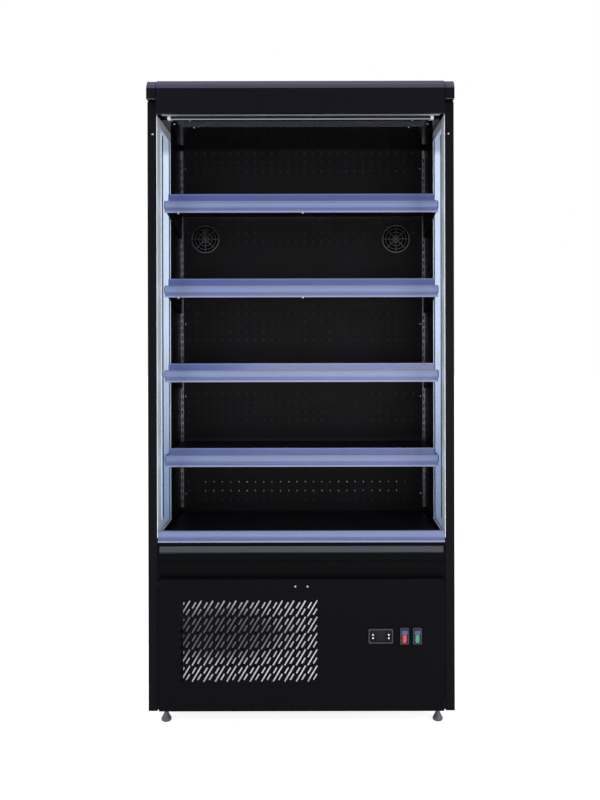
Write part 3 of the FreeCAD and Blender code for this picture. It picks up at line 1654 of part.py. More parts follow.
doc.recompute()
for item in doc.Objects:
    if "Invalid" in item.State or "Error" in item.State:
        raise RuntimeError(f"{item.Label} was left in state {item.State}")

os.makedirs("parts", exist_ok=True)
for node_name, finished in NODES.items():
    checked(finished)
for node_name, finished in NODES.items():
    finished.Shape.exportStep(f"parts/{node_name}.step")
print(f"{len(NODES)} nodes written")
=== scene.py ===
import json
import math

import bmesh
import bpy
from mathutils import Matrix, Vector


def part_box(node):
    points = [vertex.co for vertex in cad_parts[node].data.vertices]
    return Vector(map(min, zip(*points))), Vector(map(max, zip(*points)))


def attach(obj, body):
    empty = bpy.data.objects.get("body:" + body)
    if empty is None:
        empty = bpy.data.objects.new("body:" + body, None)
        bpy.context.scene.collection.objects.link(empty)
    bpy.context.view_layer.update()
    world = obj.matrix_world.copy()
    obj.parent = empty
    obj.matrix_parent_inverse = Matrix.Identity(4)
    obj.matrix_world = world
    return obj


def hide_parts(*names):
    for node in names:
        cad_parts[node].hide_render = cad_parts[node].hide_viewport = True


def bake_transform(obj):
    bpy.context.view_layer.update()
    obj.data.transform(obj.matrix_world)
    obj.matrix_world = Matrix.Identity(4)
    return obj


# The looks of an open multideck display fridge, in metres: X across the front, -Y to the shopper.

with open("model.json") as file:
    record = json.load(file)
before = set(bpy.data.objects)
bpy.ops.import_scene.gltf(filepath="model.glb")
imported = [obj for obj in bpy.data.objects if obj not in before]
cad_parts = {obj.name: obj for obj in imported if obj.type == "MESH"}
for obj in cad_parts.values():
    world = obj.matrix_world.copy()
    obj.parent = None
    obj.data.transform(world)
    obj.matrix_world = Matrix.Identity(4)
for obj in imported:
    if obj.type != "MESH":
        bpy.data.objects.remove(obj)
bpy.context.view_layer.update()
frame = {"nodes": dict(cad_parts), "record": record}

MM = 0.001

# The photograph's frame and the viewpoint that it was taken from.
IMAGE_HEIGHT = 800
SENSOR_HEIGHT_MM = 36.0
FOCAL_PIXELS = 834.0
EYE_LEVEL_ROW = 330.0
CENTRE_COLUMN = 313.8
IMAGE_CENTRE = (300.0, 400.0)
CAMERA_ACROSS = 0.04
CAMERA_HEIGHT = 1.246
CAMERA_DISTANCE = 2.6
CAMERA_ROLL = 0.12


def srgb(red, green, blue):
    """A linear colour from the 0 to 255 levels that a picture of it shows."""
    def linear(level):
        part = level / 255
        return part / 12.92 if part <= 0.04045 else ((part + 0.055) / 1.055) ** 2.4
    return (linear(red), linear(green), linear(blue), 1.0)


# ---------------------------------------------------------------- materials

class Shader:
    """A material's node tree, with short calls for the nodes that the finishes share."""

    def __init__(self, name):
        self.material = bpy.data.materials.new(name)
        self.material.use_nodes = True
        self.tree = self.material.node_tree
        self.tree.nodes.clear()
        self.output = self.node("ShaderNodeOutputMaterial")
        self.place = self.node("ShaderNodeTexCoord").outputs["Object"]

    def node(self, kind, **settings):
        made = self.tree.nodes.new(kind)
        for key, value in settings.items():
            setattr(made, key, value)
        return made

    def link(self, source, target):
        self.tree.links.new(source, target)

    def scaled(self, x, y, z):
        """The object's own coordinates, stretched on each axis."""
        mapping = self.node("ShaderNodeMapping")
        mapping.inputs["Scale"].default_value = (x, y, z)
        self.link(self.place, mapping.inputs["Vector"])
        return mapping.outputs["Vector"]

    def noise(self, scale, detail=3.0, coordinates=None):
        """Noise between 0 and 1 over the object's surface."""
        texture = self.node("ShaderNodeTexNoise")
        texture.inputs["Scale"].default_value = scale
        texture.inputs["Detail"].default_value = detail
        self.link(coordinates or self.place, texture.inputs["Vector"])
        return texture.outputs["Fac"]

    def spread(self, value, low, high):
        """A value of 0 to 1 moved into another range."""
        mapped = self.node("ShaderNodeMapRange")
        mapped.inputs["To Min"].default_value = low
        mapped.inputs["To Max"].default_value = high
        self.link(value, mapped.inputs["Value"])
        return mapped.outputs["Result"]

    def ramp(self, value, stops):
        """A colour that changes along a value, from (position, colour) stops."""
        ramp = self.node("ShaderNodeValToRGB")
        elements = ramp.color_ramp.elements
        while len(elements) < len(stops):
            elements.new(0.5)
        for element, (position, colour) in zip(elements, stops):
            element.position = position
            element.color = colour
        self.link(value, ramp.inputs["Fac"])
        return ramp.outputs["Color"]

    def height(self, low, high):
        """0 at a low height in the cabinet and 1 at a high one."""
        split = self.node("ShaderNodeSeparateXYZ")
        self.link(self.place, split.inputs["Vector"])
        mapped = self.node("ShaderNodeMapRange")
        mapped.inputs["From Min"].default_value = low
        mapped.inputs["From Max"].default_value = high
        self.link(split.outputs["Z"], mapped.inputs["Value"])
        return mapped.outputs["Result"]

    def blended(self, how, share, first, second):
        """Two colours put together; any of the three may be a value or another node's output."""
        mix = self.node("ShaderNodeMix", data_type="RGBA", blend_type=how)
        for name, value in (("Factor", share), ("A", first), ("B", second)):
            # The first three sockets of the node take numbers and the last ones colours.
            socket = mix.inputs[0] if name == "Factor" else mix.inputs[6 if name == "A" else 7]
            if isinstance(value, bpy.types.NodeSocket):
                self.link(value, socket)
            else:
                socket.default_value = value
        return mix.outputs[2]

    def above(self, value, limit):
        """1 where a value is over a limit and 0 elsewhere."""
        test = self.node("ShaderNodeMath", operation="GREATER_THAN")
        test.inputs[1].default_value = limit
        self.link(value, test.inputs[0])
        return test.outputs[0]

    def from_middle(self):
        """How far to the left or right of the cabinet's middle a point is."""
        split = self.node("ShaderNodeSeparateXYZ")
        self.link(self.place, split.inputs["Vector"])
        size = self.node("ShaderNodeMath", operation="ABSOLUTE")
        self.link(split.outputs["X"], size.inputs[0])
        return size.outputs[0]

    def mixed(self, value, first, second):
        """A colour between two others."""
        return self.ramp(value, [(0.0, first), (1.0, second)])

    def bump(self, value, depth, normal=None):
        """A surface normal from a height pattern that is so many metres deep."""
        bump = self.node("ShaderNodeBump")
        bump.inputs["Distance"].default_value = depth
        bump.inputs["Strength"].default_value = 1.0
        self.link(value, bump.inputs["Height"])
        if normal:
            self.link(normal, bump.inputs["Normal"])
        return bump.outputs["Normal"]

    def soft_edges(self, radius):
        """A normal that is rounded over the piece's edges."""
        bevel = self.node("ShaderNodeBevel", samples=4)
        bevel.inputs["Radius"].default_value = radius
        return bevel.outputs["Normal"]

    def principled(self, colour, roughness, normal=None, **inputs):
        """The surface itself; colour and roughness are values or other nodes' outputs."""
        surface = self.node("ShaderNodeBsdfPrincipled")
        for name, value in (("Base Color", colour), ("Roughness", roughness), ("Normal", normal)):
            if isinstance(value, bpy.types.NodeSocket):
                self.link(value, surface.inputs[name])
            elif value is not None:
                surface.inputs[name].default_value = value
        for name, value in inputs.items():
            surface.inputs[name.replace("_", " ")].default_value = value
        self.link(surface.outputs[0], self.output.inputs["Surface"])
        return surface


def darker(colour, factor):
    """The same colour with less light in it."""
    return tuple(part * factor for part in colour[:3]) + (1.0,)


def powder_coat(name, colour, roughness=0.38, specular=0.35, edge=0.0008):
    """Satin powder coat on sheet steel: fine orange peel, faint dust and softened folds."""
    shader = Shader(name)
    cloud = shader.noise(2.2, 4.0)
    tint = shader.mixed(cloud, darker(colour, 0.86), darker(colour, 1.14))
    peel = shader.noise(850.0, 2.0)
    normal = shader.bump(peel, 0.00004, shader.soft_edges(edge))
    rough = shader.spread(shader.noise(14.0, 5.0), roughness - 0.05, roughness + 0.07)
    shader.principled(tint, rough, normal, Specular_IOR_Level=specular)
    return shader.material


def moulded(name, colour, roughness=0.45, grain=0.00003, scale=1400.0, specular=0.4):
    """Moulded plastic with a fine spark-eroded grain."""
    shader = Shader(name)
    cloud = shader.noise(9.0, 3.0)
    tint = shader.mixed(cloud, darker(colour, 0.9), darker(colour, 1.1))
    normal = shader.bump(shader.noise(scale, 2.0), grain, shader.soft_edges(0.0006))
    rough = shader.spread(cloud, roughness - 0.06, roughness + 0.06)
    shader.principled(tint, rough, normal, Specular_IOR_Level=specular)
    return shader.material


def drawn_metal(name, colour, roughness=0.3, along=(4.0, 900.0, 900.0), metallic=1.0):
    """Drawn or extruded metal with fine lines along its length."""
    shader = Shader(name)
    lines = shader.noise(1.0, 4.0, shader.scaled(*along))
    tint = shader.mixed(lines, darker(colour, 0.88), darker(colour, 1.06))
    rough = shader.spread(lines, roughness - 0.08, roughness + 0.1)
    normal = shader.bump(lines, 0.00002, shader.soft_edges(0.0005))
    shader.principled(tint, rough, normal, Metallic=metallic)
    return shader.material


def rail_plastic(name, stops, roughness=0.22):
    """Glossy extruded rail plastic with faint draw lines, whose colour ramp up its height is
    painted shading and reflection in lighter and darker bands.
    """
    shader = Shader(name)
    lines = shader.noise(1.0, 3.0, shader.scaled(1.5, 400.0, 260.0))
    generated = shader.node("ShaderNodeTexCoord").outputs["Generated"]
    split = shader.node("ShaderNodeSeparateXYZ")
    shader.link(generated, split.inputs["Vector"])
    # Painted shading and reflection: lighter and darker bands up the rail's face.
    tint = shader.ramp(split.outputs["Z"], stops)
    clouds = shader.noise(3.0, 4.0, shader.scaled(1.0, 4.0, 4.0))
    shade = shader.mixed(clouds, (0.84, 0.86, 0.9, 1.0), (1.0, 1.0, 1.0, 1.0))
    rough = shader.spread(lines, roughness - 0.05, roughness + 0.12)
    normal = shader.bump(lines, 0.00002, shader.soft_edges(0.0004))
    shader.principled(shader.blended("MULTIPLY", 1.0, tint, shade), rough, normal,
                      Specular_IOR_Level=0.35)
    return shader.material


def window_pane(name):
    """Tinted glass that reflects more at a grazing view, with painted shade in its tint: darker
    towards its foot and paler towards its top.
    """
    shader = Shader(name)
    # Painted shade: the tint darkens the glass towards its foot and leaves it paler at its top.
    tint = shader.ramp(shader.height(0.6, 1.9), [
        (0.0, (0.84, 0.90, 0.97, 1.0)),
        (0.45, (0.95, 0.975, 1.0, 1.0)),
        (1.0, (0.97, 0.985, 1.0, 1.0)),
    ])
    clear = shader.node("ShaderNodeBsdfTransparent")
    shader.link(tint, clear.inputs["Color"])
    gloss = shader.node("ShaderNodeBsdfGlossy")
    gloss.inputs["Color"].default_value = (0.8, 0.9, 1.0, 1.0)
    smears = shader.spread(shader.noise(6.0, 5.0), 0.015, 0.06)
    shader.link(smears, gloss.inputs["Roughness"])
    grazing = shader.node("ShaderNodeLayerWeight")
    grazing.inputs["Blend"].default_value = 0.3
    mix = shader.node("ShaderNodeMixShader")
    shader.link(shader.spread(grazing.outputs["Facing"], 0.02, 0.14), mix.inputs["Fac"])
    shader.link(clear.outputs[0], mix.inputs[1])
    shader.link(gloss.outputs[0], mix.inputs[2])
    shader.link(mix.outputs[0], shader.output.inputs["Surface"])
    return shader.material


def fascia_coat(name, colour, band_sheen_colour, band_foot, band_top):
    """The canopy's coat: black, with a painted lavender sheen on the slanted band round its top, a
    painted reflection of the light above that is lighter towards the band's top.
    """
    shader = Shader(name)
    cloud = shader.noise(2.2, 4.0)
    black = shader.mixed(cloud, darker(colour, 0.86), darker(colour, 1.14))
    # Painted reflection: a lavender sheen over the slanted band, darker at its foot and lighter
    # towards its top.
    painted_sheen = shader.ramp(shader.height(band_foot, band_top), [
        (0.0, darker(band_sheen_colour, 0.72)), (0.45, band_sheen_colour), (1.0, darker(band_sheen_colour, 1.15))])
    split = shader.node("ShaderNodeSeparateXYZ")
    shader.link(shader.place, split.inputs["Vector"])
    tint = shader.blended("MIX", shader.above(split.outputs["Z"], band_foot), black, painted_sheen)
    tint = shader.blended("MIX", shader.above(split.outputs["Z"], band_top), tint, black)
    streaks = shader.noise(1.0, 3.0, shader.scaled(0.8, 8.0, 90.0))
    tint = shader.blended("MULTIPLY", 0.5, tint, shader.mixed(
        streaks, (0.75, 0.75, 0.78, 1.0), (1.0, 1.0, 1.0, 1.0)))
    rough = shader.spread(shader.noise(14.0, 5.0), 0.3, 0.42)
    normal = shader.bump(shader.noise(850.0, 2.0), 0.00004, shader.soft_edges(0.0008))
    shader.principled(tint, rough, normal, Specular_IOR_Level=0.06)
    return shader.material


def window_trim(name, trim_colour, spacer_colour, spacer_from, glow):
    """Anodised trim inside the glass, and the pale spacer between the panes, which glows with
    painted daylight, brightest just below the head trim and dimmer towards its foot.
    """
    shader = Shader(name)
    lines = shader.noise(1.0, 4.0, shader.scaled(900.0, 900.0, 4.0))
    trim = shader.mixed(lines, darker(trim_colour, 0.86), darker(trim_colour, 1.06))
    between = shader.above(shader.from_middle(), spacer_from)
    tint = shader.blended("MIX", between, trim, spacer_colour)
    rough = shader.spread(lines, 0.26, 0.42)
    normal = shader.bump(lines, 0.00002, shader.soft_edges(0.0005))
    surface = shader.principled(tint, rough, normal, Metallic=0.2)
    # Painted light: the spacer glows to stand for daylight through the panes, brightest just below
    # the head trim and dimmer lower down.
    light = shader.ramp(shader.height(0.6, 1.917), [
        (0.0, darker(glow, 0.22)), (0.2, darker(glow, 0.4)), (0.5, darker(glow, 0.85)),
        (0.94, glow), (0.955, darker(glow, 0.45)), (1.0, darker(glow, 0.35))])
    black = (0.0, 0.0, 0.0, 1.0)
    shader.link(shader.blended("MIX", between, black, light), surface.inputs["Emission Color"])
    surface.inputs["Emission Strength"].default_value = 1.0
    return shader.material


def wound_roller(name, cloth_half_width, cloth, metal):
    """The blind's tube: cloth is wound on its middle, and its ends are bare aluminium."""
    shader = Shader(name)
    turns = shader.noise(1.0, 3.0, shader.scaled(6.0, 300.0, 300.0))
    bare = shader.above(shader.from_middle(), cloth_half_width)
    tint = shader.blended("MIX", bare, shader.mixed(turns, darker(cloth, 0.82), cloth), metal)
    rough = shader.spread(bare, 0.8, 0.3)
    shader.principled(tint, rough, shader.bump(turns, 0.0001))
    return shader.material


def paddle_with_painted_highlight(name, highlight_grey, lower, change):
    """A rocker's paddle: near black round its lens, with a painted highlight that makes it grey
    above the lens, where its face tilts to the light.
    """
    shader = Shader(name)
    split = shader.node("ShaderNodeSeparateXYZ")
    shader.link(shader.place, split.inputs["Vector"])
    # Painted highlight: the paddle is grey above the pivot height and near black below it.
    tint = shader.blended("MIX", shader.above(split.outputs["Z"], change), lower, highlight_grey)
    grain = shader.noise(1400.0, 2.0)
    shader.principled(tint, shader.spread(grain, 0.3, 0.42),
                      shader.bump(grain, 0.00003, shader.soft_edges(0.0006)),
                      Specular_IOR_Level=0.25)
    return shader.material


def clear_riser(name):
    """Tinted clear plastic with painted highlights that make its top edge paler and its foot a
    little paler.
    """
    shader = Shader(name)
    generated = shader.node("ShaderNodeTexCoord").outputs["Generated"]
    split = shader.node("ShaderNodeSeparateXYZ")
    shader.link(generated, split.inputs["Vector"])
    streaks = shader.noise(1.0, 3.0, shader.scaled(2.0, 300.0, 200.0))
    # Painted highlight: paler at the top edge and foot, darker between.
    tint = shader.ramp(split.outputs["Z"], [
        (0.0, srgb(91, 98, 142)), (0.2, srgb(64, 81, 140)), (0.75, srgb(66, 83, 143)),
        (1.0, srgb(108, 113, 154))])
    rough = shader.spread(streaks, 0.1, 0.25)
    shader.principled(tint, rough, shader.soft_edges(0.0005), Specular_IOR_Level=0.5, Alpha=0.9)
    return shader.material


def woven(name, colour):
    """Coated blind cloth with fine upright threads."""
    shader = Shader(name)
    wave = shader.node("ShaderNodeTexWave", wave_type="BANDS", bands_direction="X")
    wave.inputs["Scale"].default_value = 520.0
    wave.inputs["Distortion"].default_value = 0.6
    shader.link(shader.place, wave.inputs["Vector"])
    threads = wave.outputs["Fac"]
    tint = shader.mixed(threads, darker(colour, 0.8), colour)
    shader.principled(tint, 0.75, shader.bump(threads, 0.00015), Sheen_Weight=0.25)
    return shader.material


def lens(name, colour, glow):
    """A translucent switch lens that its lamp lights a little from inside."""
    shader = Shader(name)
    ribs = shader.noise(1.0, 2.0, shader.scaled(60.0, 60.0, 900.0))
    tint = shader.mixed(ribs, darker(colour, 0.8), colour)
    normal = shader.bump(ribs, 0.00005)
    surface = shader.principled(tint, 0.16, normal, Coat_Weight=0.6, Subsurface_Weight=0.2)
    surface.inputs["Emission Color"].default_value = colour
    surface.inputs["Emission Strength"].default_value = glow
    return shader.material


def fin_stock(name):
    """Bare aluminium fins, darkened in a wide oval round a point on the left of the condenser coil,
    with fine specks.
    """
    shader = Shader(name)
    mapping = shader.node("ShaderNodeMapping", vector_type="POINT")
    mapping.inputs["Location"].default_value = (0.525, 0.0, -1.45)
    mapping.inputs["Scale"].default_value = (2.1, 0.0, 5.0)
    shader.link(shader.place, mapping.inputs["Vector"])
    reach = shader.node("ShaderNodeVectorMath", operation="LENGTH")
    shader.link(mapping.outputs["Vector"], reach.inputs[0])
    fin_grey = srgb(222, 224, 230)
    # Darkest at the oval's middle and lighter out to its edge.
    oval_darkening = shader.ramp(reach.outputs["Value"], [
        (0.0, darker(fin_grey, 0.05)), (0.3, darker(fin_grey, 0.1)), (0.5, darker(fin_grey, 0.5)),
        (1.0, fin_grey)])
    specks = shader.noise(30.0, 5.0)
    tint = shader.blended("MULTIPLY", 0.5, oval_darkening, shader.mixed(
        specks, (0.6, 0.6, 0.62, 1.0), (1.0, 1.0, 1.0, 1.0)))
    ripple = shader.noise(1.0, 2.0, shader.scaled(40.0, 300.0, 500.0))
    shader.principled(tint, 0.5, shader.bump(ripple, 0.0001), Metallic=0.2)
    return shader.material


LOOKS = {
    "cabinet_black": powder_coat("powder_coat_cabinet", srgb(13, 12, 17), 0.36, 0.045),
    "service_black": powder_coat("powder_coat_service_panel", srgb(11, 10, 13), 0.42, 0.03),
    "sill_black": powder_coat("powder_coat_sill", srgb(7, 7, 9), 0.3, 0.03),
    "soffit_dark": powder_coat("gloss_coat_soffit", srgb(12, 12, 15), 0.13, 0.3),
    "inner_dark": powder_coat("powder_coat_inside", srgb(15, 15, 18), 0.5, 0.1),
    "shelf_dark": powder_coat("powder_coat_shelves", srgb(18, 18, 22), 0.4, 0.2),
    "base_steel": powder_coat("painted_base_steel", srgb(22, 22, 26), 0.5, 0.2),
    "compressor_black": powder_coat("compressor_enamel", srgb(14, 14, 15), 0.25, 0.4, 0.002),
    "upright_steel": drawn_metal("brushed_upright", srgb(128, 130, 138), 0.34,
                                 (900.0, 900.0, 4.0), 0.9),
    "window_glass": window_pane("tinted_glazing"),
    # The last colour is the spacer's painted daylight glow.
    "window_aluminium": window_trim("window_trim", srgb(240, 247, 254), srgb(124, 137, 160),
                                    0.4515, srgb(208, 218, 232)),
    "blind_aluminium": drawn_metal("anodised_blind_bar", srgb(120, 121, 128), 0.22),
    "coil_aluminium": fin_stock("coil_fins"),
    "copper_pipe": drawn_metal("copper_pipe", srgb(190, 120, 84), 0.28, (90.0, 90.0, 90.0)),
    "screw_steel": drawn_metal("zinc_screw", srgb(176, 177, 182), 0.24, (300.0, 300.0, 300.0)),
    "honeycomb_plastic": moulded("honeycomb", srgb(74, 75, 84), 0.25),
    "lamp_tube": moulded("opal_lamp_cover", srgb(112, 114, 120), 0.3),
    "bumper_rubber": moulded("bumper_vinyl", srgb(34, 37, 48), 0.4),
    # The rail's stops are painted shading and reflection, from its bottom lip to its top edge.
    "rail_blue": rail_plastic("rail_plastic", [
        (0.0, srgb(142, 148, 183)),
        (0.1, srgb(139, 145, 181)),
        (0.17, srgb(103, 110, 155)),
        (0.3, srgb(100, 108, 154)),
        (0.37, srgb(91, 99, 147)),
        (0.46, srgb(117, 126, 164)),
        (0.6, srgb(120, 138, 178)),
        (0.82, srgb(122, 139, 178)),
        (0.9, srgb(132, 136, 168)),
        (1.0, srgb(78, 78, 115)),
    ]),
    "riser_clear": clear_riser("riser_plastic"),
    "control_plastic": moulded("controller_plastic", srgb(22, 22, 28), 0.35),
    "button_plastic": moulded("button_plastic", srgb(232, 232, 236), 0.3),
    "guard_plastic": moulded("guard_plastic", srgb(20, 21, 27), 0.2, specular=0.6),
    "fan_plastic": moulded("fan_plastic", srgb(24, 25, 30), 0.3),
    "red_switch": lens("red_lens", srgb(214, 12, 8), 0.12),
    "green_switch": lens("green_lens", srgb(8, 140, 104), 0.1),
    "foot_plastic": moulded("foot_nylon", srgb(92, 90, 104), 0.4),
    "blind_fabric": woven("blind_cloth", srgb(205, 208, 214)),
}
# Finishes of single nodes and pieces that differ from the rest of their slot.
# The lavender colour of the canopy's slanted band is a painted reflection of the light above.
FASCIA = fascia_coat("powder_coat_fascia", srgb(9, 9, 17), srgb(62, 60, 80), 1.991, 2.0176)
CAPS = fascia_coat("powder_coat_caps", srgb(9, 9, 17), srgb(62, 60, 80), 1.991, 2.0156)
ROLLER = wound_roller("blind_roller", 0.411, srgb(205, 208, 214), srgb(200, 202, 206))
SWITCH_GREY = moulded("switch_frame_grey", srgb(57, 60, 76), 0.35, specular=0.25)
# The paddle's grey above its lens is a painted highlight.
PADDLE = paddle_with_painted_highlight("switch_paddle", srgb(83, 93, 115), srgb(20, 14, 18), 0.3035)
BEZEL_GREY = moulded("bezel_rim_grey", srgb(52, 52, 66), 0.35, specular=0.25)
SCREEN_DARK = powder_coat("display_window", srgb(7, 7, 13), 0.2, 0.15)
FACE_DARK = moulded("controller_face", srgb(4, 4, 8), 0.35, specular=0.1)
# The joint strips' pale grey is partly a painted highlight along the canopy joints.
JOINT_GREY_HIGHLIGHT = moulded("joint_strip", srgb(110, 110, 122), 0.35)
PUNCHED_EDGE = drawn_metal("punched_edge", srgb(70, 70, 76), 0.4, (300.0, 300.0, 300.0), 0.6)
CLIP_WHITE = moulded("clip_nylon", srgb(215, 217, 222), 0.4)
STUD_DARK = drawn_metal("foot_stud_steel", srgb(40, 40, 44), 0.4, (300.0, 300.0, 900.0))
NODE_FINISHES = {"canopy_fascia": FASCIA, "canopy_end_caps": CAPS, "blind_roller": ROLLER}

for entry in frame["record"]["subparts"]:
    target = frame["nodes"][entry["node"]]
    target.data.materials.clear()
    target.data.materials.append(
        NODE_FINISHES.get(entry["node"], LOOKS[entry["material_slot"]]))


# ---------------------------------------------------------------- piece making

def piece(name, mesh, body, slot, material=None, smooth=True):
    """A finished mesh as a piece that rides on a body, or on none."""
    bmesh.ops.recalc_face_normals(mesh, faces=mesh.faces)
    made = bpy.data.meshes.new(name)
    mesh.to_mesh(made)
    mesh.free()
    made.materials.append(material or LOOKS[slot])
    if smooth:
        made.shade_smooth()
        made.set_sharp_from_angle(angle=math.radians(32))
    thing = bpy.data.objects.new(name, made)
    bpy.context.scene.collection.objects.link(thing)
    if body:
        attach(thing, body)
    return thing


def skin(mesh, rings, ends=True):
    """A surface over rings that hold as many points as each other, closed at both ends."""
    rows = [[mesh.verts.new(point) for point in ring] for ring in rings]
    for low, high in zip(rows, rows[1:]):
        for number in range(len(low)):
            mesh.faces.new((low[number - 1], low[number], high[number], high[number - 1]))
    if ends:
        mesh.faces.new(rows[0])
        mesh.faces.new(rows[-1][::-1])


def add_block(mesh, low, high, edge=0.0):
    """A block between two corners whose long edges along Z are eased."""
    corners = [(low[0] + edge, low[1]), (high[0] - edge, low[1]), (high[0], low[1] + edge),
               (high[0], high[1] - edge), (high[0] - edge, high[1]), (low[0] + edge, high[1]),
               (low[0], high[1] - edge), (low[0], low[1] + edge)]
    if not edge:
        corners = corners[1::2]
    skin(mesh, [[(x, y, z) for x, y in corners] for z in (low[2], high[2])])


def circle(centre, axis, radius, count=24):
    """Points round an axis."""
    axis = Vector(axis)
    side = Vector((0, 0, 1)).cross(axis) if abs(axis.z) < 0.9 else Vector((1, 0, 0))
    side.normalize()
    up = axis.cross(side)
    turns = [math.tau * number / count for number in range(count)]
    return [Vector(centre) + (side * math.cos(turn) + up * math.sin(turn)) * radius
            for turn in turns]


def turned(mesh, start, axis, profile, count=24, ends=True):
    """A turned form, from how far along the axis and how wide each of its steps is."""
    skin(mesh, [circle(Vector(start) + Vector(axis) * along, axis, radius, count)
                for along, radius in profile], ends)


def rounded(x, y, z, half_width, half_height, corner, steps=5):
    """A rounded rectangle that faces the shopper, as a ring of points."""
    points = []
    for quarter, (side, up) in enumerate(((1, 1), (-1, 1), (-1, -1), (1, -1))):
        for step in range(steps + 1):
            turn = math.pi / 2 * (quarter + step / steps)
            points.append(Vector((
                x + side * (half_width - corner) + corner * math.cos(turn),
                y,
                z + up * (half_height - corner) + corner * math.sin(turn),
            )))
    return points


NEAR_CELLS = [(x, y, z) for x in (-1, 0, 1) for y in (-1, 0, 1) for z in (-1, 0, 1)]


def clusters(node, cell=0.01):
    """The box of each group of a CAD node's points that lies apart from the others."""
    cells = {}
    for vertex in frame["nodes"][node].data.vertices:
        key = tuple(math.floor(part / cell) for part in vertex.co)
        cells.setdefault(key, []).append(vertex.co.copy())
    boxes = []
    while cells:
        key, points = cells.popitem()
        edge = [key]
        while edge:
            at = edge.pop()
            for step in NEAR_CELLS:
                near = tuple(part + move for part, move in zip(at, step))
                if near in cells:
                    points = points + cells.pop(near)
                    edge.append(near)
        boxes.append((Vector([min(point[axis] for point in points) for axis in range(3)]),
                      Vector([max(point[axis] for point in points) for axis in range(3)])))
    return boxes


# ---------------------------------------------------------------- screws, holes and slots

SCREW_RADIUS = 3.1 * MM
SCREW_DOME = ((0.0, 1.0), (0.7, 1.0), (1.15, 0.93), (1.42, 0.8), (1.55, 0.62), (1.6, 0.46),
              (1.6, 0.3), (1.6, 0.14))
RECESS_REACH = 0.62
RECESS_HALF_WIDTH = 0.14
RECESS_DEPTH = 1.0 * MM


def screw_heads():
    """Low domed heads with a cross recess, where the CAD node has its plain ones."""
    mesh = bmesh.new()
    for low, high in clusters("panel_screws"):
        flat_up = high.z - low.z < high.y - low.y
        outward = Vector((0, 0, -1)) if flat_up else Vector((0, -1, 0))
        base = (low + high) / 2 - outward * (SCREW_DOME[-1][0] * MM / 2)
        rings = []
        for height, share in SCREW_DOME:
            ring = circle(base + outward * height * MM, outward, SCREW_RADIUS * share, 32)
            if share <= RECESS_REACH:
                for point in ring:
                    aside = point - base
                    near = min(abs(part) for axis, part in enumerate(aside)
                               if not abs(outward[axis]) > 0.5)
                    if near < RECESS_HALF_WIDTH * SCREW_RADIUS:
                        point -= outward * RECESS_DEPTH
            rings.append(ring)
        skin(mesh, rings)
    heads = piece("cross_recess_screws", mesh, "cabinet", "screw_steel")
    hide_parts("panel_screws")


def hole_rims():
    """The turned edge of each hole that is punched in the inner back panel."""
    mesh = bmesh.new()
    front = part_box("inner_back_panel")[0].y
    for low, high in clusters("inner_back_panel"):
        width = high.x - low.x
        if 4 * MM < width < 7 * MM and high.z - low.z < 7 * MM:
            middle = (low + high) / 2
            middle.y = front
            turned(mesh, middle, (0, -1, 0), [
                (-0.6 * MM, width / 2 - 0.05 * MM), (0.25 * MM, width / 2),
                (0.3 * MM, width / 2 + 0.5 * MM), (-0.02 * MM, width / 2 + 0.9 * MM)],
                12, ends=False)
    piece("punched_hole_rims", mesh, "cabinet", "inner_dark", PUNCHED_EDGE)


LOUVRE_ROWS = 5
LOUVRE_COLUMNS = 12
LOUVRE_FIRST = (-0.360, 0.183)
LOUVRE_PITCH = (0.0358, 0.0503)
LOUVRE_LONG = 0.0575
LOUVRE_SHORT = 0.022
LOUVRE_SHORT_PLACE = (0.0083, 0.0102)
LOUVRE_WIDTH = 0.0044
LOUVRE_SLANT = math.radians(59)


def slot_lip(mesh, x, z, length, front):
    """The fine raised edge round one slanted slot."""
    along = Vector((math.cos(LOUVRE_SLANT), 0, math.sin(LOUVRE_SLANT)))
    across = Vector((-along.z, 0, along.x))
    rings = []
    for out, forward in ((0.0, -0.6), (0.0, 0.3), (0.35, 0.45), (0.8, 0.2), (1.0, -0.02)):
        half_long = length / 2 + out * MM
        half_wide = LOUVRE_WIDTH / 2 + out * MM
        middle = Vector((x, front - forward * MM, z))
        rings.append([middle + along * half_long * one + across * half_wide * other
                      for one, other in ((-1, -1), (1, -1), (1, 1), (-1, 1))])
    skin(mesh, rings, ends=False)


def louvre_lips():
    """A raised edge round every air slot of the service panel."""
    mesh = bmesh.new()
    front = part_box("service_panel")[0].y
    for row in range(LOUVRE_ROWS):
        z = LOUVRE_FIRST[1] + LOUVRE_PITCH[1] * row
        for column in range(LOUVRE_COLUMNS):
            x = LOUVRE_FIRST[0] + LOUVRE_PITCH[0] * column
            slot_lip(mesh, x, z, LOUVRE_LONG, front)
            for side in (-1, 1):
                slot_lip(mesh, x + side * LOUVRE_SHORT_PLACE[0],
                         z - side * LOUVRE_SHORT_PLACE[1], LOUVRE_SHORT, front)
    piece("louvre_lips", mesh, "cabinet", "service_black")


# ---------------------------------------------------------------- controls

CONTROL_HEIGHT = 0.2995
SWITCHES = (("power", 0.3185), ("light", 0.3582))
SWITCH_SLOTS = {"power": "red_switch", "light": "green_switch"}
CONTROLLER_X = 0.245
BEZEL_DEPTH = 6 * MM
PIVOT_Y = -0.324
ROCKER_HALF_WIDTH = 9 * MM
ROCKER_HALF_HEIGHT = 20 * MM
ROCKER_PROUD = 9 * MM
ROCKER_DIP = 3 * MM
ROCKER_BACK = 6 * MM
ROCKER_TILT = math.radians(10)
PIN_RADIUS = 1.5 * MM
PIN_REACH = 10.3 * MM
PIN_CHAMFER = (0.3 * MM, 0.2 * MM)
LENS_MIDDLE = -7.0 * MM
LENS_HALF_HEIGHT = 12.6 * MM
LENS_HALF_WIDTH = 6.8 * MM
LENS_CORNER = 6.6 * MM
LENS_DOME = ((1.0, -0.8), (1.0, 0.7), (0.95, 1.5), (0.82, 2.2), (0.6, 2.7), (0.3, 2.9))


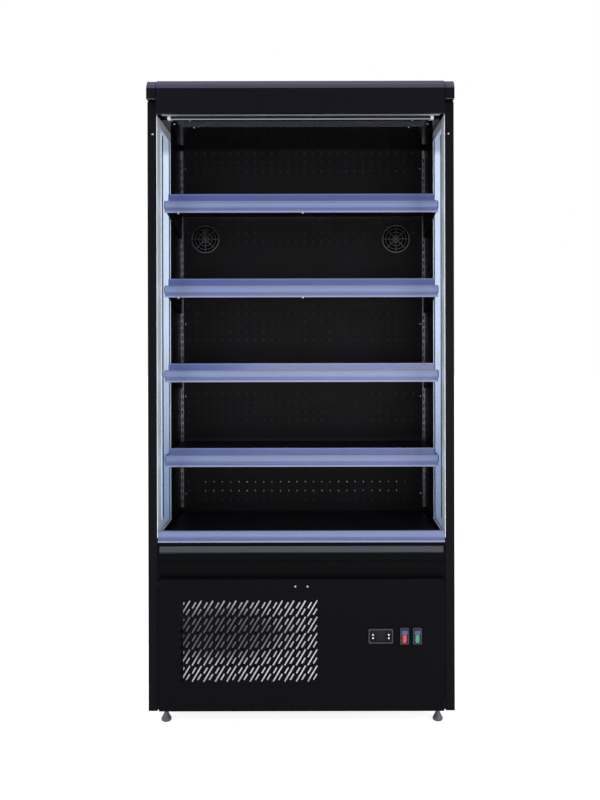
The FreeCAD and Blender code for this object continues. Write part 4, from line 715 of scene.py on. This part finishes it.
def controller():
    """The controller's rounded rim, dark face and display window."""
    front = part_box("service_panel")[0].y
    top = front - BEZEL_DEPTH
    z = CONTROL_HEIGHT

    def ring(y, half_width, half_height, corner):
        return rounded(CONTROLLER_X, y, z, half_width * MM, half_height * MM, corner * MM)

    mesh = bmesh.new()
    skin(mesh, [
        ring(front + 55 * MM, 35, 17, 1.5), ring(front, 35, 17, 1.5),
        ring(front, 38.25, 22.5, 5.0), ring(top + 1.4 * MM, 38.25, 22.5, 5.0),
        ring(top + 0.4 * MM, 37.8, 22.05, 4.8), ring(top, 36.8, 21.1, 4.6),
        ring(top, 35.0, 19.3, 4.6), ring(top + 0.5 * MM, 34.2, 18.6, 5.2),
        ring(top + 2.2 * MM, 33.9, 18.3, 5.4),
    ])
    rim = piece("controller_rim", mesh, "cabinet", "control_plastic", BEZEL_GREY)
    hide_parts("control_bezels")

    mesh = bmesh.new()
    skin(mesh, [ring(top + 2.1 * MM, 33.7, 18.1, 5.3), ring(top + 1.3 * MM, 33.7, 18.1, 5.3),
                ring(top + 1.1 * MM, 33.3, 17.7, 5.1)])
    piece("controller_face", mesh, "cabinet", "control_plastic", FACE_DARK)

    mesh = bmesh.new()
    skin(mesh, [ring(top + 1.0 * MM, 14.0, 14.6, 1.5), ring(top + 0.7 * MM, 14.0, 14.6, 1.5),
                ring(top + 0.5 * MM, 13.4, 14.0, 1.2)])
    piece("controller_display", mesh, "cabinet", "control_plastic", SCREEN_DARK)

    for number in range(1, 5):
        node = f"controller_button_{number}"
        low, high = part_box(node)
        middle = (low + high) / 2
        radius = (high.x - low.x) / 2
        mesh = bmesh.new()
        turned(mesh, (middle.x, high.y, middle.z), (0, -1, 0), [
            (0.0, radius), (high.y - low.y - 0.7 * MM, radius),
            (high.y - low.y - 0.25 * MM, radius * 0.85), (high.y - low.y, radius * 0.4)])
        cap = piece(f"domed_button_{number}", mesh, f"button_{number}", "button_plastic")
        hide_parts(node)


def switch_surround(name, x):
    """A rocker switch's rounded frame with its well."""
    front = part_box("service_panel")[0].y
    top = front - BEZEL_DEPTH
    z = CONTROL_HEIGHT

    def ring(y, half_width, half_height, corner):
        return rounded(x, y, z, half_width * MM, half_height * MM, corner * MM, 3)

    mesh = bmesh.new()
    skin(mesh, [
        ring(front + 26 * MM, 11.5, 22.7, 0.8), ring(front, 11.5, 22.7, 0.8),
        ring(front, 13.5, 25.0, 2.2), ring(top + 1.0 * MM, 13.5, 25.0, 2.2),
        ring(top, 12.7, 24.2, 1.8), ring(top, 10.3, 22.6, 1.0),
        ring(top + 0.7 * MM, 9.6, 21.9, 0.8), ring(front + 24.5 * MM, 9.6, 21.9, 0.8),
    ])
    piece(f"{name}_switch_surround", mesh, "cabinet", "control_plastic", SWITCH_GREY)


def rocker_face(z):
    """How far in front of the pivot the rocker's hollow face is at a height."""
    return ROCKER_PROUD - ROCKER_DIP * (1 - (z / ROCKER_HALF_HEIGHT) ** 2)


def rocker(name, x):
    """A hollow-faced rocker on its pins, with an oval lens over its lower part."""
    pivot = Vector((x, PIVOT_Y, CONTROL_HEIGHT))
    tilt = Matrix.Rotation(ROCKER_TILT, 3, "X")
    half = ROCKER_HALF_HEIGHT

    def set_in(point):
        return pivot + tilt @ Vector(point)

    steps = [half * (1 - number / 6) for number in range(13)]
    section = [(-rocker_face(z), z) for z in steps]
    section += [(0.0, -half), (ROCKER_BACK, -half / 2), (ROCKER_BACK, half / 2), (0.0, half)]
    rings = []
    for across, inset in ((-1.0, 0.94), (-0.94, 1.0), (0.94, 1.0), (1.0, 0.94)):
        rings.append([set_in((ROCKER_HALF_WIDTH * across, y * inset, z * inset))
                      for y, z in section])
    mesh = bmesh.new()
    skin(mesh, rings)
    chamfer, step = PIN_CHAMFER
    turned(mesh, pivot - Vector((PIN_REACH, 0, 0)), (1, 0, 0), [
        (0.0, PIN_RADIUS - step), (chamfer, PIN_RADIUS),
        (2 * PIN_REACH - chamfer, PIN_RADIUS), (2 * PIN_REACH, PIN_RADIUS - step)])
    paddle = piece(f"{name}_rocker_paddle", mesh, f"{name}_switch", SWITCH_SLOTS[name], PADDLE)
    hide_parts(f"{name}_rocker")

    rings = []
    for share, lift in LENS_DOME:
        ring = rounded(0, 0, 0, LENS_HALF_WIDTH * share, LENS_HALF_HEIGHT * share,
                       LENS_CORNER * share, 6)
        rings.append([set_in((
            point.x,
            -rocker_face(point.z + LENS_MIDDLE) - lift * MM,
            point.z + LENS_MIDDLE,
        )) for point in ring])
    mesh = bmesh.new()
    skin(mesh, rings)
    piece(f"{name}_rocker_lens", mesh, f"{name}_switch", SWITCH_SLOTS[name])


# ---------------------------------------------------------------- canopy and blind

PANEL_INSIDE = 0.4495
CLOTH_COLUMNS = 120
CLOTH_ROWS = 24
CLOTH_RIPPLE = 0.12 * MM
PLUG_LENGTH = 9 * MM
PLUG_OUTSIDE = 1.5 * MM
PLUG_PROUD = 0.6 * MM


def joint_strips():
    """A pale grey strip under each canopy cap and down each end of the fascia; its paleness is
    partly a painted highlight along the joints.
    """
    mesh = bmesh.new()
    for side in (-1, 1):
        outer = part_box("canopy_end_caps")[1].x * side
        inner = (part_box("canopy_fascia")[1].x + 2.2 * MM) * side
        low_x, high_x = sorted((outer, inner))
        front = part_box("canopy_end_caps")[0].y
        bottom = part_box("canopy_end_caps")[0].z
        add_block(mesh, (low_x, front, bottom - 0.8 * MM),
                  (high_x, front + 2 * MM, bottom + 1.0 * MM), 0.2 * MM)
        panel_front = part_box("right_end_panel")[0].y
        low_x, high_x = sorted((side * (PANEL_INSIDE - 0.3 * MM),
                               side * (PANEL_INSIDE - 2.8 * MM)))
        add_block(mesh, (low_x, panel_front - 0.4 * MM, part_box("canopy_fascia")[0].z),
                  (high_x, panel_front + 6 * MM, bottom - 0.6 * MM), 0.3 * MM)
    piece("canopy_joint_strips", mesh, "cabinet", "window_aluminium", JOINT_GREY_HIGHLIGHT)


def blind_cloth():
    """The short length of cloth that shows between the roller and the pull bar."""
    low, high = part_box("blind_fabric")
    middle_y = (low.y + high.y) / 2
    mesh = bmesh.new()
    grid = []
    for row in range(CLOTH_ROWS + 1):
        z = high.z + (low.z - high.z) * row / CLOTH_ROWS
        grid.append([mesh.verts.new((
            low.x + (high.x - low.x) * column / CLOTH_COLUMNS,
            middle_y + CLOTH_RIPPLE * math.sin(column * 0.9 + row * 0.2),
            z,
        )) for column in range(CLOTH_COLUMNS + 1)])
    for first, second in zip(grid, grid[1:]):
        for column in range(CLOTH_COLUMNS):
            mesh.faces.new((first[column], first[column + 1], second[column + 1], second[column]))
    cloth = piece("night_blind_cloth", mesh, None, "blind_fabric")
    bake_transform(cloth)
    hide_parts("blind_fabric")


def bar_plugs():
    """White end plugs that close the pull bar's profile."""
    low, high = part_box("blind_pull_bar")
    mesh = bmesh.new()
    for side in (-1, 1):
        low_x, high_x = sorted((side * (high.x - PLUG_LENGTH),
                                side * (high.x + PLUG_OUTSIDE)))
        middle = Vector(((low_x + high_x) / 2, (low.y + high.y) / 2, (low.z + high.z) / 2))
        half = Vector((high_x - low_x, high.y - low.y + PLUG_PROUD,
                       high.z - low.z + PLUG_PROUD)) / 2
        rings = []
        for across, inset in ((-1.0, 0.9), (-0.8, 1.0), (0.8, 1.0), (1.0, 0.9)):
            rings.append([middle + Vector((half.x * across, half.y * inset * y, half.z * inset * z))
                          for y, z in ((-1, -0.6), (-0.6, -1), (0.6, -1), (1, -0.6),
                                       (1, 0.6), (0.6, 1), (-0.6, 1), (-1, 0.6))])
        skin(mesh, rings)
    piece("pull_bar_end_plugs", mesh, "blind_bar", "button_plastic", CLIP_WHITE)


# ---------------------------------------------------------------- shelves

RAIL_CLIPS = (-0.399, 0.005)
CLIPPED_SHELVES = (3, 4)
CLIP_BELOW_RAIL = 1.2 * MM
CLIP_BEHIND_RAIL = 5.5 * MM
CLIP_PROFILE = ((0.0, 2.6), (4.5, 2.6), (5.4, 2.1), (5.8, 1.0))


def rail_clips():
    """The white clips that hold the price rails of the two upper shelves."""
    for shelf in CLIPPED_SHELVES:
        low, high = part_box(f"shelf_{shelf}_price_rail")
        mesh = bmesh.new()
        for x in RAIL_CLIPS:
            turned(mesh, (x, low.y + CLIP_BEHIND_RAIL, low.z - CLIP_BELOW_RAIL), (0, -1, 0),
                   [(along * MM, radius * MM) for along, radius in CLIP_PROFILE], 16)
        piece(f"shelf_{shelf}_rail_clips", mesh, f"shelf_{shelf}", "button_plastic", CLIP_WHITE)


# ---------------------------------------------------------------- machine compartment

PLATE_THICKNESS = 2 * MM
FIN_HALF_THICKNESS = 0.15 * MM
FIN_SETBACK = 1 * MM
FOLD_SETBACK = 0.7 * MM
FOLD_SHARE = 0.6
TUBE_RADIUS = 4.8 * MM
TUBE_END_RADIUS = 3.6 * MM
TUBE_CHAMFER = 0.6 * MM
COMPRESSOR_SEAM = (0.2, 0.06, 0.184)
SEAM_PROFILE = ((-3.0, 81.9), (-2.6, 84.6), (-0.6, 85.2), (0.0, 84.0), (0.6, 85.2), (2.6, 84.6),
                (3.0, 81.9))
GLAND = (0.32, 0.26)
GLAND_PROFILE = ((0.3245, 11.2), (0.3252, 13.4), (0.3348, 13.4), (0.3362, 11.2))
GLAND_GRIP_OVER = 12
GLAND_GROOVE = 0.93


def fin_pack(name, node, legs_bottom, fins_bottom, tubes, tube_pitch, pitch):
    """A finned coil: thin fins between flanged end plates, on tubes that show at both ends."""
    low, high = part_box(node)
    low_x = low.x + PLATE_THICKNESS
    high_x = high.x - PLATE_THICKNESS
    count = round((high_x - low_x) / pitch)
    mesh = bmesh.new()
    for number in range(1, count):
        x = low_x + (high_x - low_x) * number / count
        front = low.y + FIN_SETBACK
        bottom = fins_bottom + FIN_SETBACK
        top = high.z - FIN_SETBACK
        add_block(mesh, (x - FIN_HALF_THICKNESS, front, bottom),
                  (x + FIN_HALF_THICKNESS, high.y - FIN_SETBACK, top))
        add_block(mesh, (x - FIN_HALF_THICKNESS, low.y + FOLD_SETBACK, bottom),
                  (x + pitch * FOLD_SHARE, front, top))
    for x in (low_x, high_x - PLATE_THICKNESS):
        add_block(mesh, (x, low.y, legs_bottom), (x + PLATE_THICKNESS, high.y, high.z), 0.4 * MM)
    coil = piece(f"{name}_fins", mesh, "cabinet", "coil_aluminium", smooth=False)
    mesh = bmesh.new()
    middle_y = (low.y + high.y) / 2
    middle_z = (fins_bottom + high.z) / 2
    for number in range(tubes):
        z = middle_z + tube_pitch * (number - (tubes - 1) / 2)
        turned(mesh, (low.x, middle_y, z), (1, 0, 0), [
            (0.0, TUBE_END_RADIUS), (TUBE_CHAMFER, TUBE_RADIUS),
            (high.x - low.x - TUBE_CHAMFER, TUBE_RADIUS), (high.x - low.x, TUBE_END_RADIUS)], 16)
    piece(f"{name}_tubes", mesh, "cabinet", "coil_aluminium")
    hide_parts(node)


def compressor_flange():
    """The weld flange round the compressor's shell."""
    mesh = bmesh.new()
    turned(mesh, COMPRESSOR_SEAM, (0, 0, 1),
           [(along * MM, radius * MM) for along, radius in SEAM_PROFILE], 64, ends=False)
    piece("compressor_weld_flange", mesh, "cabinet", "compressor_black")


def gland_nut():
    """The ribbed nut of the mains cable gland."""
    mesh = bmesh.new()
    rings = []
    x, z = GLAND
    for y, radius in GLAND_PROFILE:
        ring = circle((x, y, z), (0, 1, 0), radius * MM, 48)
        if radius > GLAND_GRIP_OVER:
            middle = Vector((x, y, z))
            ring = [middle + (point - middle) * (GLAND_GROOVE if number % 4 < 2 else 1.0)
                    for number, point in enumerate(ring)]
        rings.append(ring)
    skin(mesh, rings, ends=False)
    piece("cable_gland_nut", mesh, "cabinet", "control_plastic")


# ---------------------------------------------------------------- feet

FOOT_PAD = ((0.0, 13.2), (1.2, 15.2), (4.0, 16.3), (7.0, 16.5), (9.0, 16.0), (13.0, 13.6),
            (20.0, 9.8), (27.0, 6.6), (32.0, 5.4), (34.0, 5.2))
STUD_BOTTOM = 33.0
THREAD_PITCH = 1.75
THREAD_ROOT = 4.2 * MM
THREAD_CREST = 4.9 * MM
NUT_PROFILE = ((37.0, 5.0), (37.0, 8.2), (37.8, 9.0), (43.2, 9.0), (44.0, 8.2), (44.0, 5.0))


def levelling_feet():
    """Each foot's swept nylon pad, its threaded stud and lock nut."""
    for name in ("front_left", "front_right", "rear_left", "rear_right"):
        low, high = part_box(f"foot_{name}")
        x = (low.x + high.x) / 2
        y = (low.y + high.y) / 2
        mesh = bmesh.new()
        turned(mesh, (x, y, 0), (0, 0, 1), [(z * MM, r * MM) for z, r in FOOT_PAD], 40)
        pad = piece(f"foot_pad_{name}", mesh, f"foot_{name}", "foot_plastic")
        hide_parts(f"foot_{name}")
        mesh = bmesh.new()
        profile = [(STUD_BOTTOM * MM, THREAD_ROOT)]
        z = STUD_BOTTOM
        while z + THREAD_PITCH < high.z / MM - 1:
            profile += [((z + THREAD_PITCH * 0.25) * MM, THREAD_ROOT),
                        ((z + THREAD_PITCH * 0.5) * MM, THREAD_CREST),
                        ((z + THREAD_PITCH * 0.75) * MM, THREAD_ROOT)]
            z += THREAD_PITCH
        profile.append((high.z, THREAD_ROOT))
        turned(mesh, (x, y, 0), (0, 0, 1), profile, 24)
        turned(mesh, (x, y, 0), (0, 0, 1), [(z * MM, r * MM) for z, r in NUT_PROFILE], 6,
               ends=False)
        piece(f"foot_stud_{name}", mesh, f"foot_{name}", "screw_steel", STUD_DARK)


screw_heads()
hole_rims()
louvre_lips()
controller()
for switch, switch_x in SWITCHES:
    switch_surround(switch, switch_x)
    rocker(switch, switch_x)
joint_strips()
blind_cloth()
bar_plugs()
rail_clips()
fin_pack("condenser", "condenser_coil", 0.0613, 0.126, 7, 0.042, 0.0031)
fin_pack("evaporator", "evaporator_coil", 0.640, 0.640, 5, 0.042, 0.005)
compressor_flange()
gland_nut()
levelling_feet()


# ---------------------------------------------------------------- stage, light and camera

FLOOR_GLOW = 0.82
# The room's light by direction, from in front of the fridge to behind it.
ROOM_GRADE = {"From Min": -0.4, "From Max": 0.3, "To Min": 0.16, "To Max": 0.85}


def shown_white(tree, strength):
    """A strength for what the camera, metal and glass see of the surroundings, and 0 for light."""
    path = tree.nodes.new("ShaderNodeLightPath")
    total = path.outputs["Is Camera Ray"]
    for name in ("Is Glossy Ray", "Is Transmission Ray"):
        largest = tree.nodes.new("ShaderNodeMath")
        largest.operation = "MAXIMUM"
        tree.links.new(total, largest.inputs[0])
        tree.links.new(path.outputs[name], largest.inputs[1])
        total = largest.outputs[0]
    times = tree.nodes.new("ShaderNodeMath")
    times.operation = "MULTIPLY"
    times.inputs[1].default_value = strength
    tree.links.new(total, times.inputs[0])
    return times.outputs[0]


def stage():
    """A plain pale floor that shows the object's shadow."""
    mesh = bmesh.new()
    bmesh.ops.create_grid(mesh, x_segments=1, y_segments=1, size=20.0)
    made = bpy.data.meshes.new("floor")
    mesh.to_mesh(made)
    mesh.free()
    floor = bpy.data.objects.new("floor", made)
    bpy.context.scene.collection.objects.link(floor)
    shader = Shader("pale_floor")
    white = shader.node("ShaderNodeEmission")
    white.inputs["Color"].default_value = (1.0, 1.0, 1.0, 1.0)
    shader.link(shown_white(shader.tree, FLOOR_GLOW), white.inputs["Strength"])
    matt = shader.node("ShaderNodeBsdfDiffuse")
    matt.inputs["Color"].default_value = (0.8, 0.8, 0.8, 1.0)
    both = shader.node("ShaderNodeAddShader")
    shader.link(matt.outputs[0], both.inputs[0])
    shader.link(white.outputs[0], both.inputs[1])
    shader.link(both.outputs[0], shader.output.inputs["Surface"])
    made.materials.append(shader.material)


def room():
    """The surroundings: white where the camera sees them, graded from back to front elsewhere."""
    world = bpy.data.worlds.new("studio")
    bpy.context.scene.world = world
    world.use_nodes = True
    tree = world.node_tree
    tree.nodes.clear()
    output = tree.nodes.new("ShaderNodeOutputWorld")
    direction = tree.nodes.new("ShaderNodeTexCoord")
    split = tree.nodes.new("ShaderNodeSeparateXYZ")
    tree.links.new(direction.outputs["Generated"], split.inputs["Vector"])
    graded = tree.nodes.new("ShaderNodeMapRange")
    for name, value in ROOM_GRADE.items():
        graded.inputs[name].default_value = value
    tree.links.new(split.outputs["Y"], graded.inputs["Value"])
    dim = tree.nodes.new("ShaderNodeBackground")
    dim.inputs["Color"].default_value = (0.92, 0.95, 1.0, 1.0)
    tree.links.new(graded.outputs["Result"], dim.inputs["Strength"])
    white = tree.nodes.new("ShaderNodeBackground")
    white.inputs["Color"].default_value = (1.0, 1.0, 1.0, 1.0)
    mix = tree.nodes.new("ShaderNodeMixShader")
    tree.links.new(shown_white(tree, 1.0), mix.inputs["Fac"])
    tree.links.new(dim.outputs[0], mix.inputs[1])
    tree.links.new(white.outputs[0], mix.inputs[2])
    tree.links.new(mix.outputs[0], output.inputs["Surface"])


def lamp(name, place, target, size, power, colour=(1.0, 1.0, 1.0)):
    """A large soft studio light aimed at a point."""
    light = bpy.data.lights.new(name, "AREA")
    light.shape = "RECTANGLE"
    light.size, light.size_y = size
    light.energy = power
    light.color = colour
    thing = bpy.data.objects.new(name, light)
    thing.location = place
    thing.rotation_euler = (Vector(target) - Vector(place)).to_track_quat("-Z", "Y").to_euler()
    bpy.context.scene.collection.objects.link(thing)


def camera():
    """The viewpoint, level with the third shelf, with the picture's frame shifted down."""
    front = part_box("right_end_panel")[0].y
    settings = bpy.data.cameras.new("camera")
    settings.sensor_fit = "VERTICAL"
    settings.sensor_height = SENSOR_HEIGHT_MM
    settings.lens = FOCAL_PIXELS / IMAGE_HEIGHT * SENSOR_HEIGHT_MM
    settings.shift_x = (IMAGE_CENTRE[0] - CENTRE_COLUMN) / IMAGE_HEIGHT
    settings.shift_y = (EYE_LEVEL_ROW - IMAGE_CENTRE[1]) / IMAGE_HEIGHT
    thing = bpy.data.objects.new("camera", settings)
    thing.location = (CAMERA_ACROSS, front - CAMERA_DISTANCE, CAMERA_HEIGHT)
    thing.rotation_euler = (math.pi / 2, math.radians(CAMERA_ROLL), 0.0)
    bpy.context.scene.collection.objects.link(thing)
    bpy.context.scene.camera = thing


camera()
stage()
room()
lamp("overhead_light", (0.0, -0.7, 4.2), (0.0, 0.0, 1.6), (3.0, 2.0), 50.0)
lamp("left_light", (-3.2, -3.6, 2.6), (0.0, 0.0, 1.1), (1.6, 2.4), 83.0)
lamp("right_light", (3.4, -3.4, 2.4), (0.0, 0.0, 1.0), (1.6, 2.4), 94.0)
lamp("low_front_light", (0.6, -4.2, 0.9), (0.0, 0.0, 0.6), (2.4, 1.0), 33.0)
lamp("light_in_machine_space", (-0.16, -0.296, 0.275), (-0.16, 0.0, 0.275), (0.44, 0.29), 0.8)
bpy.context.scene.view_settings.view_transform = "Standard"
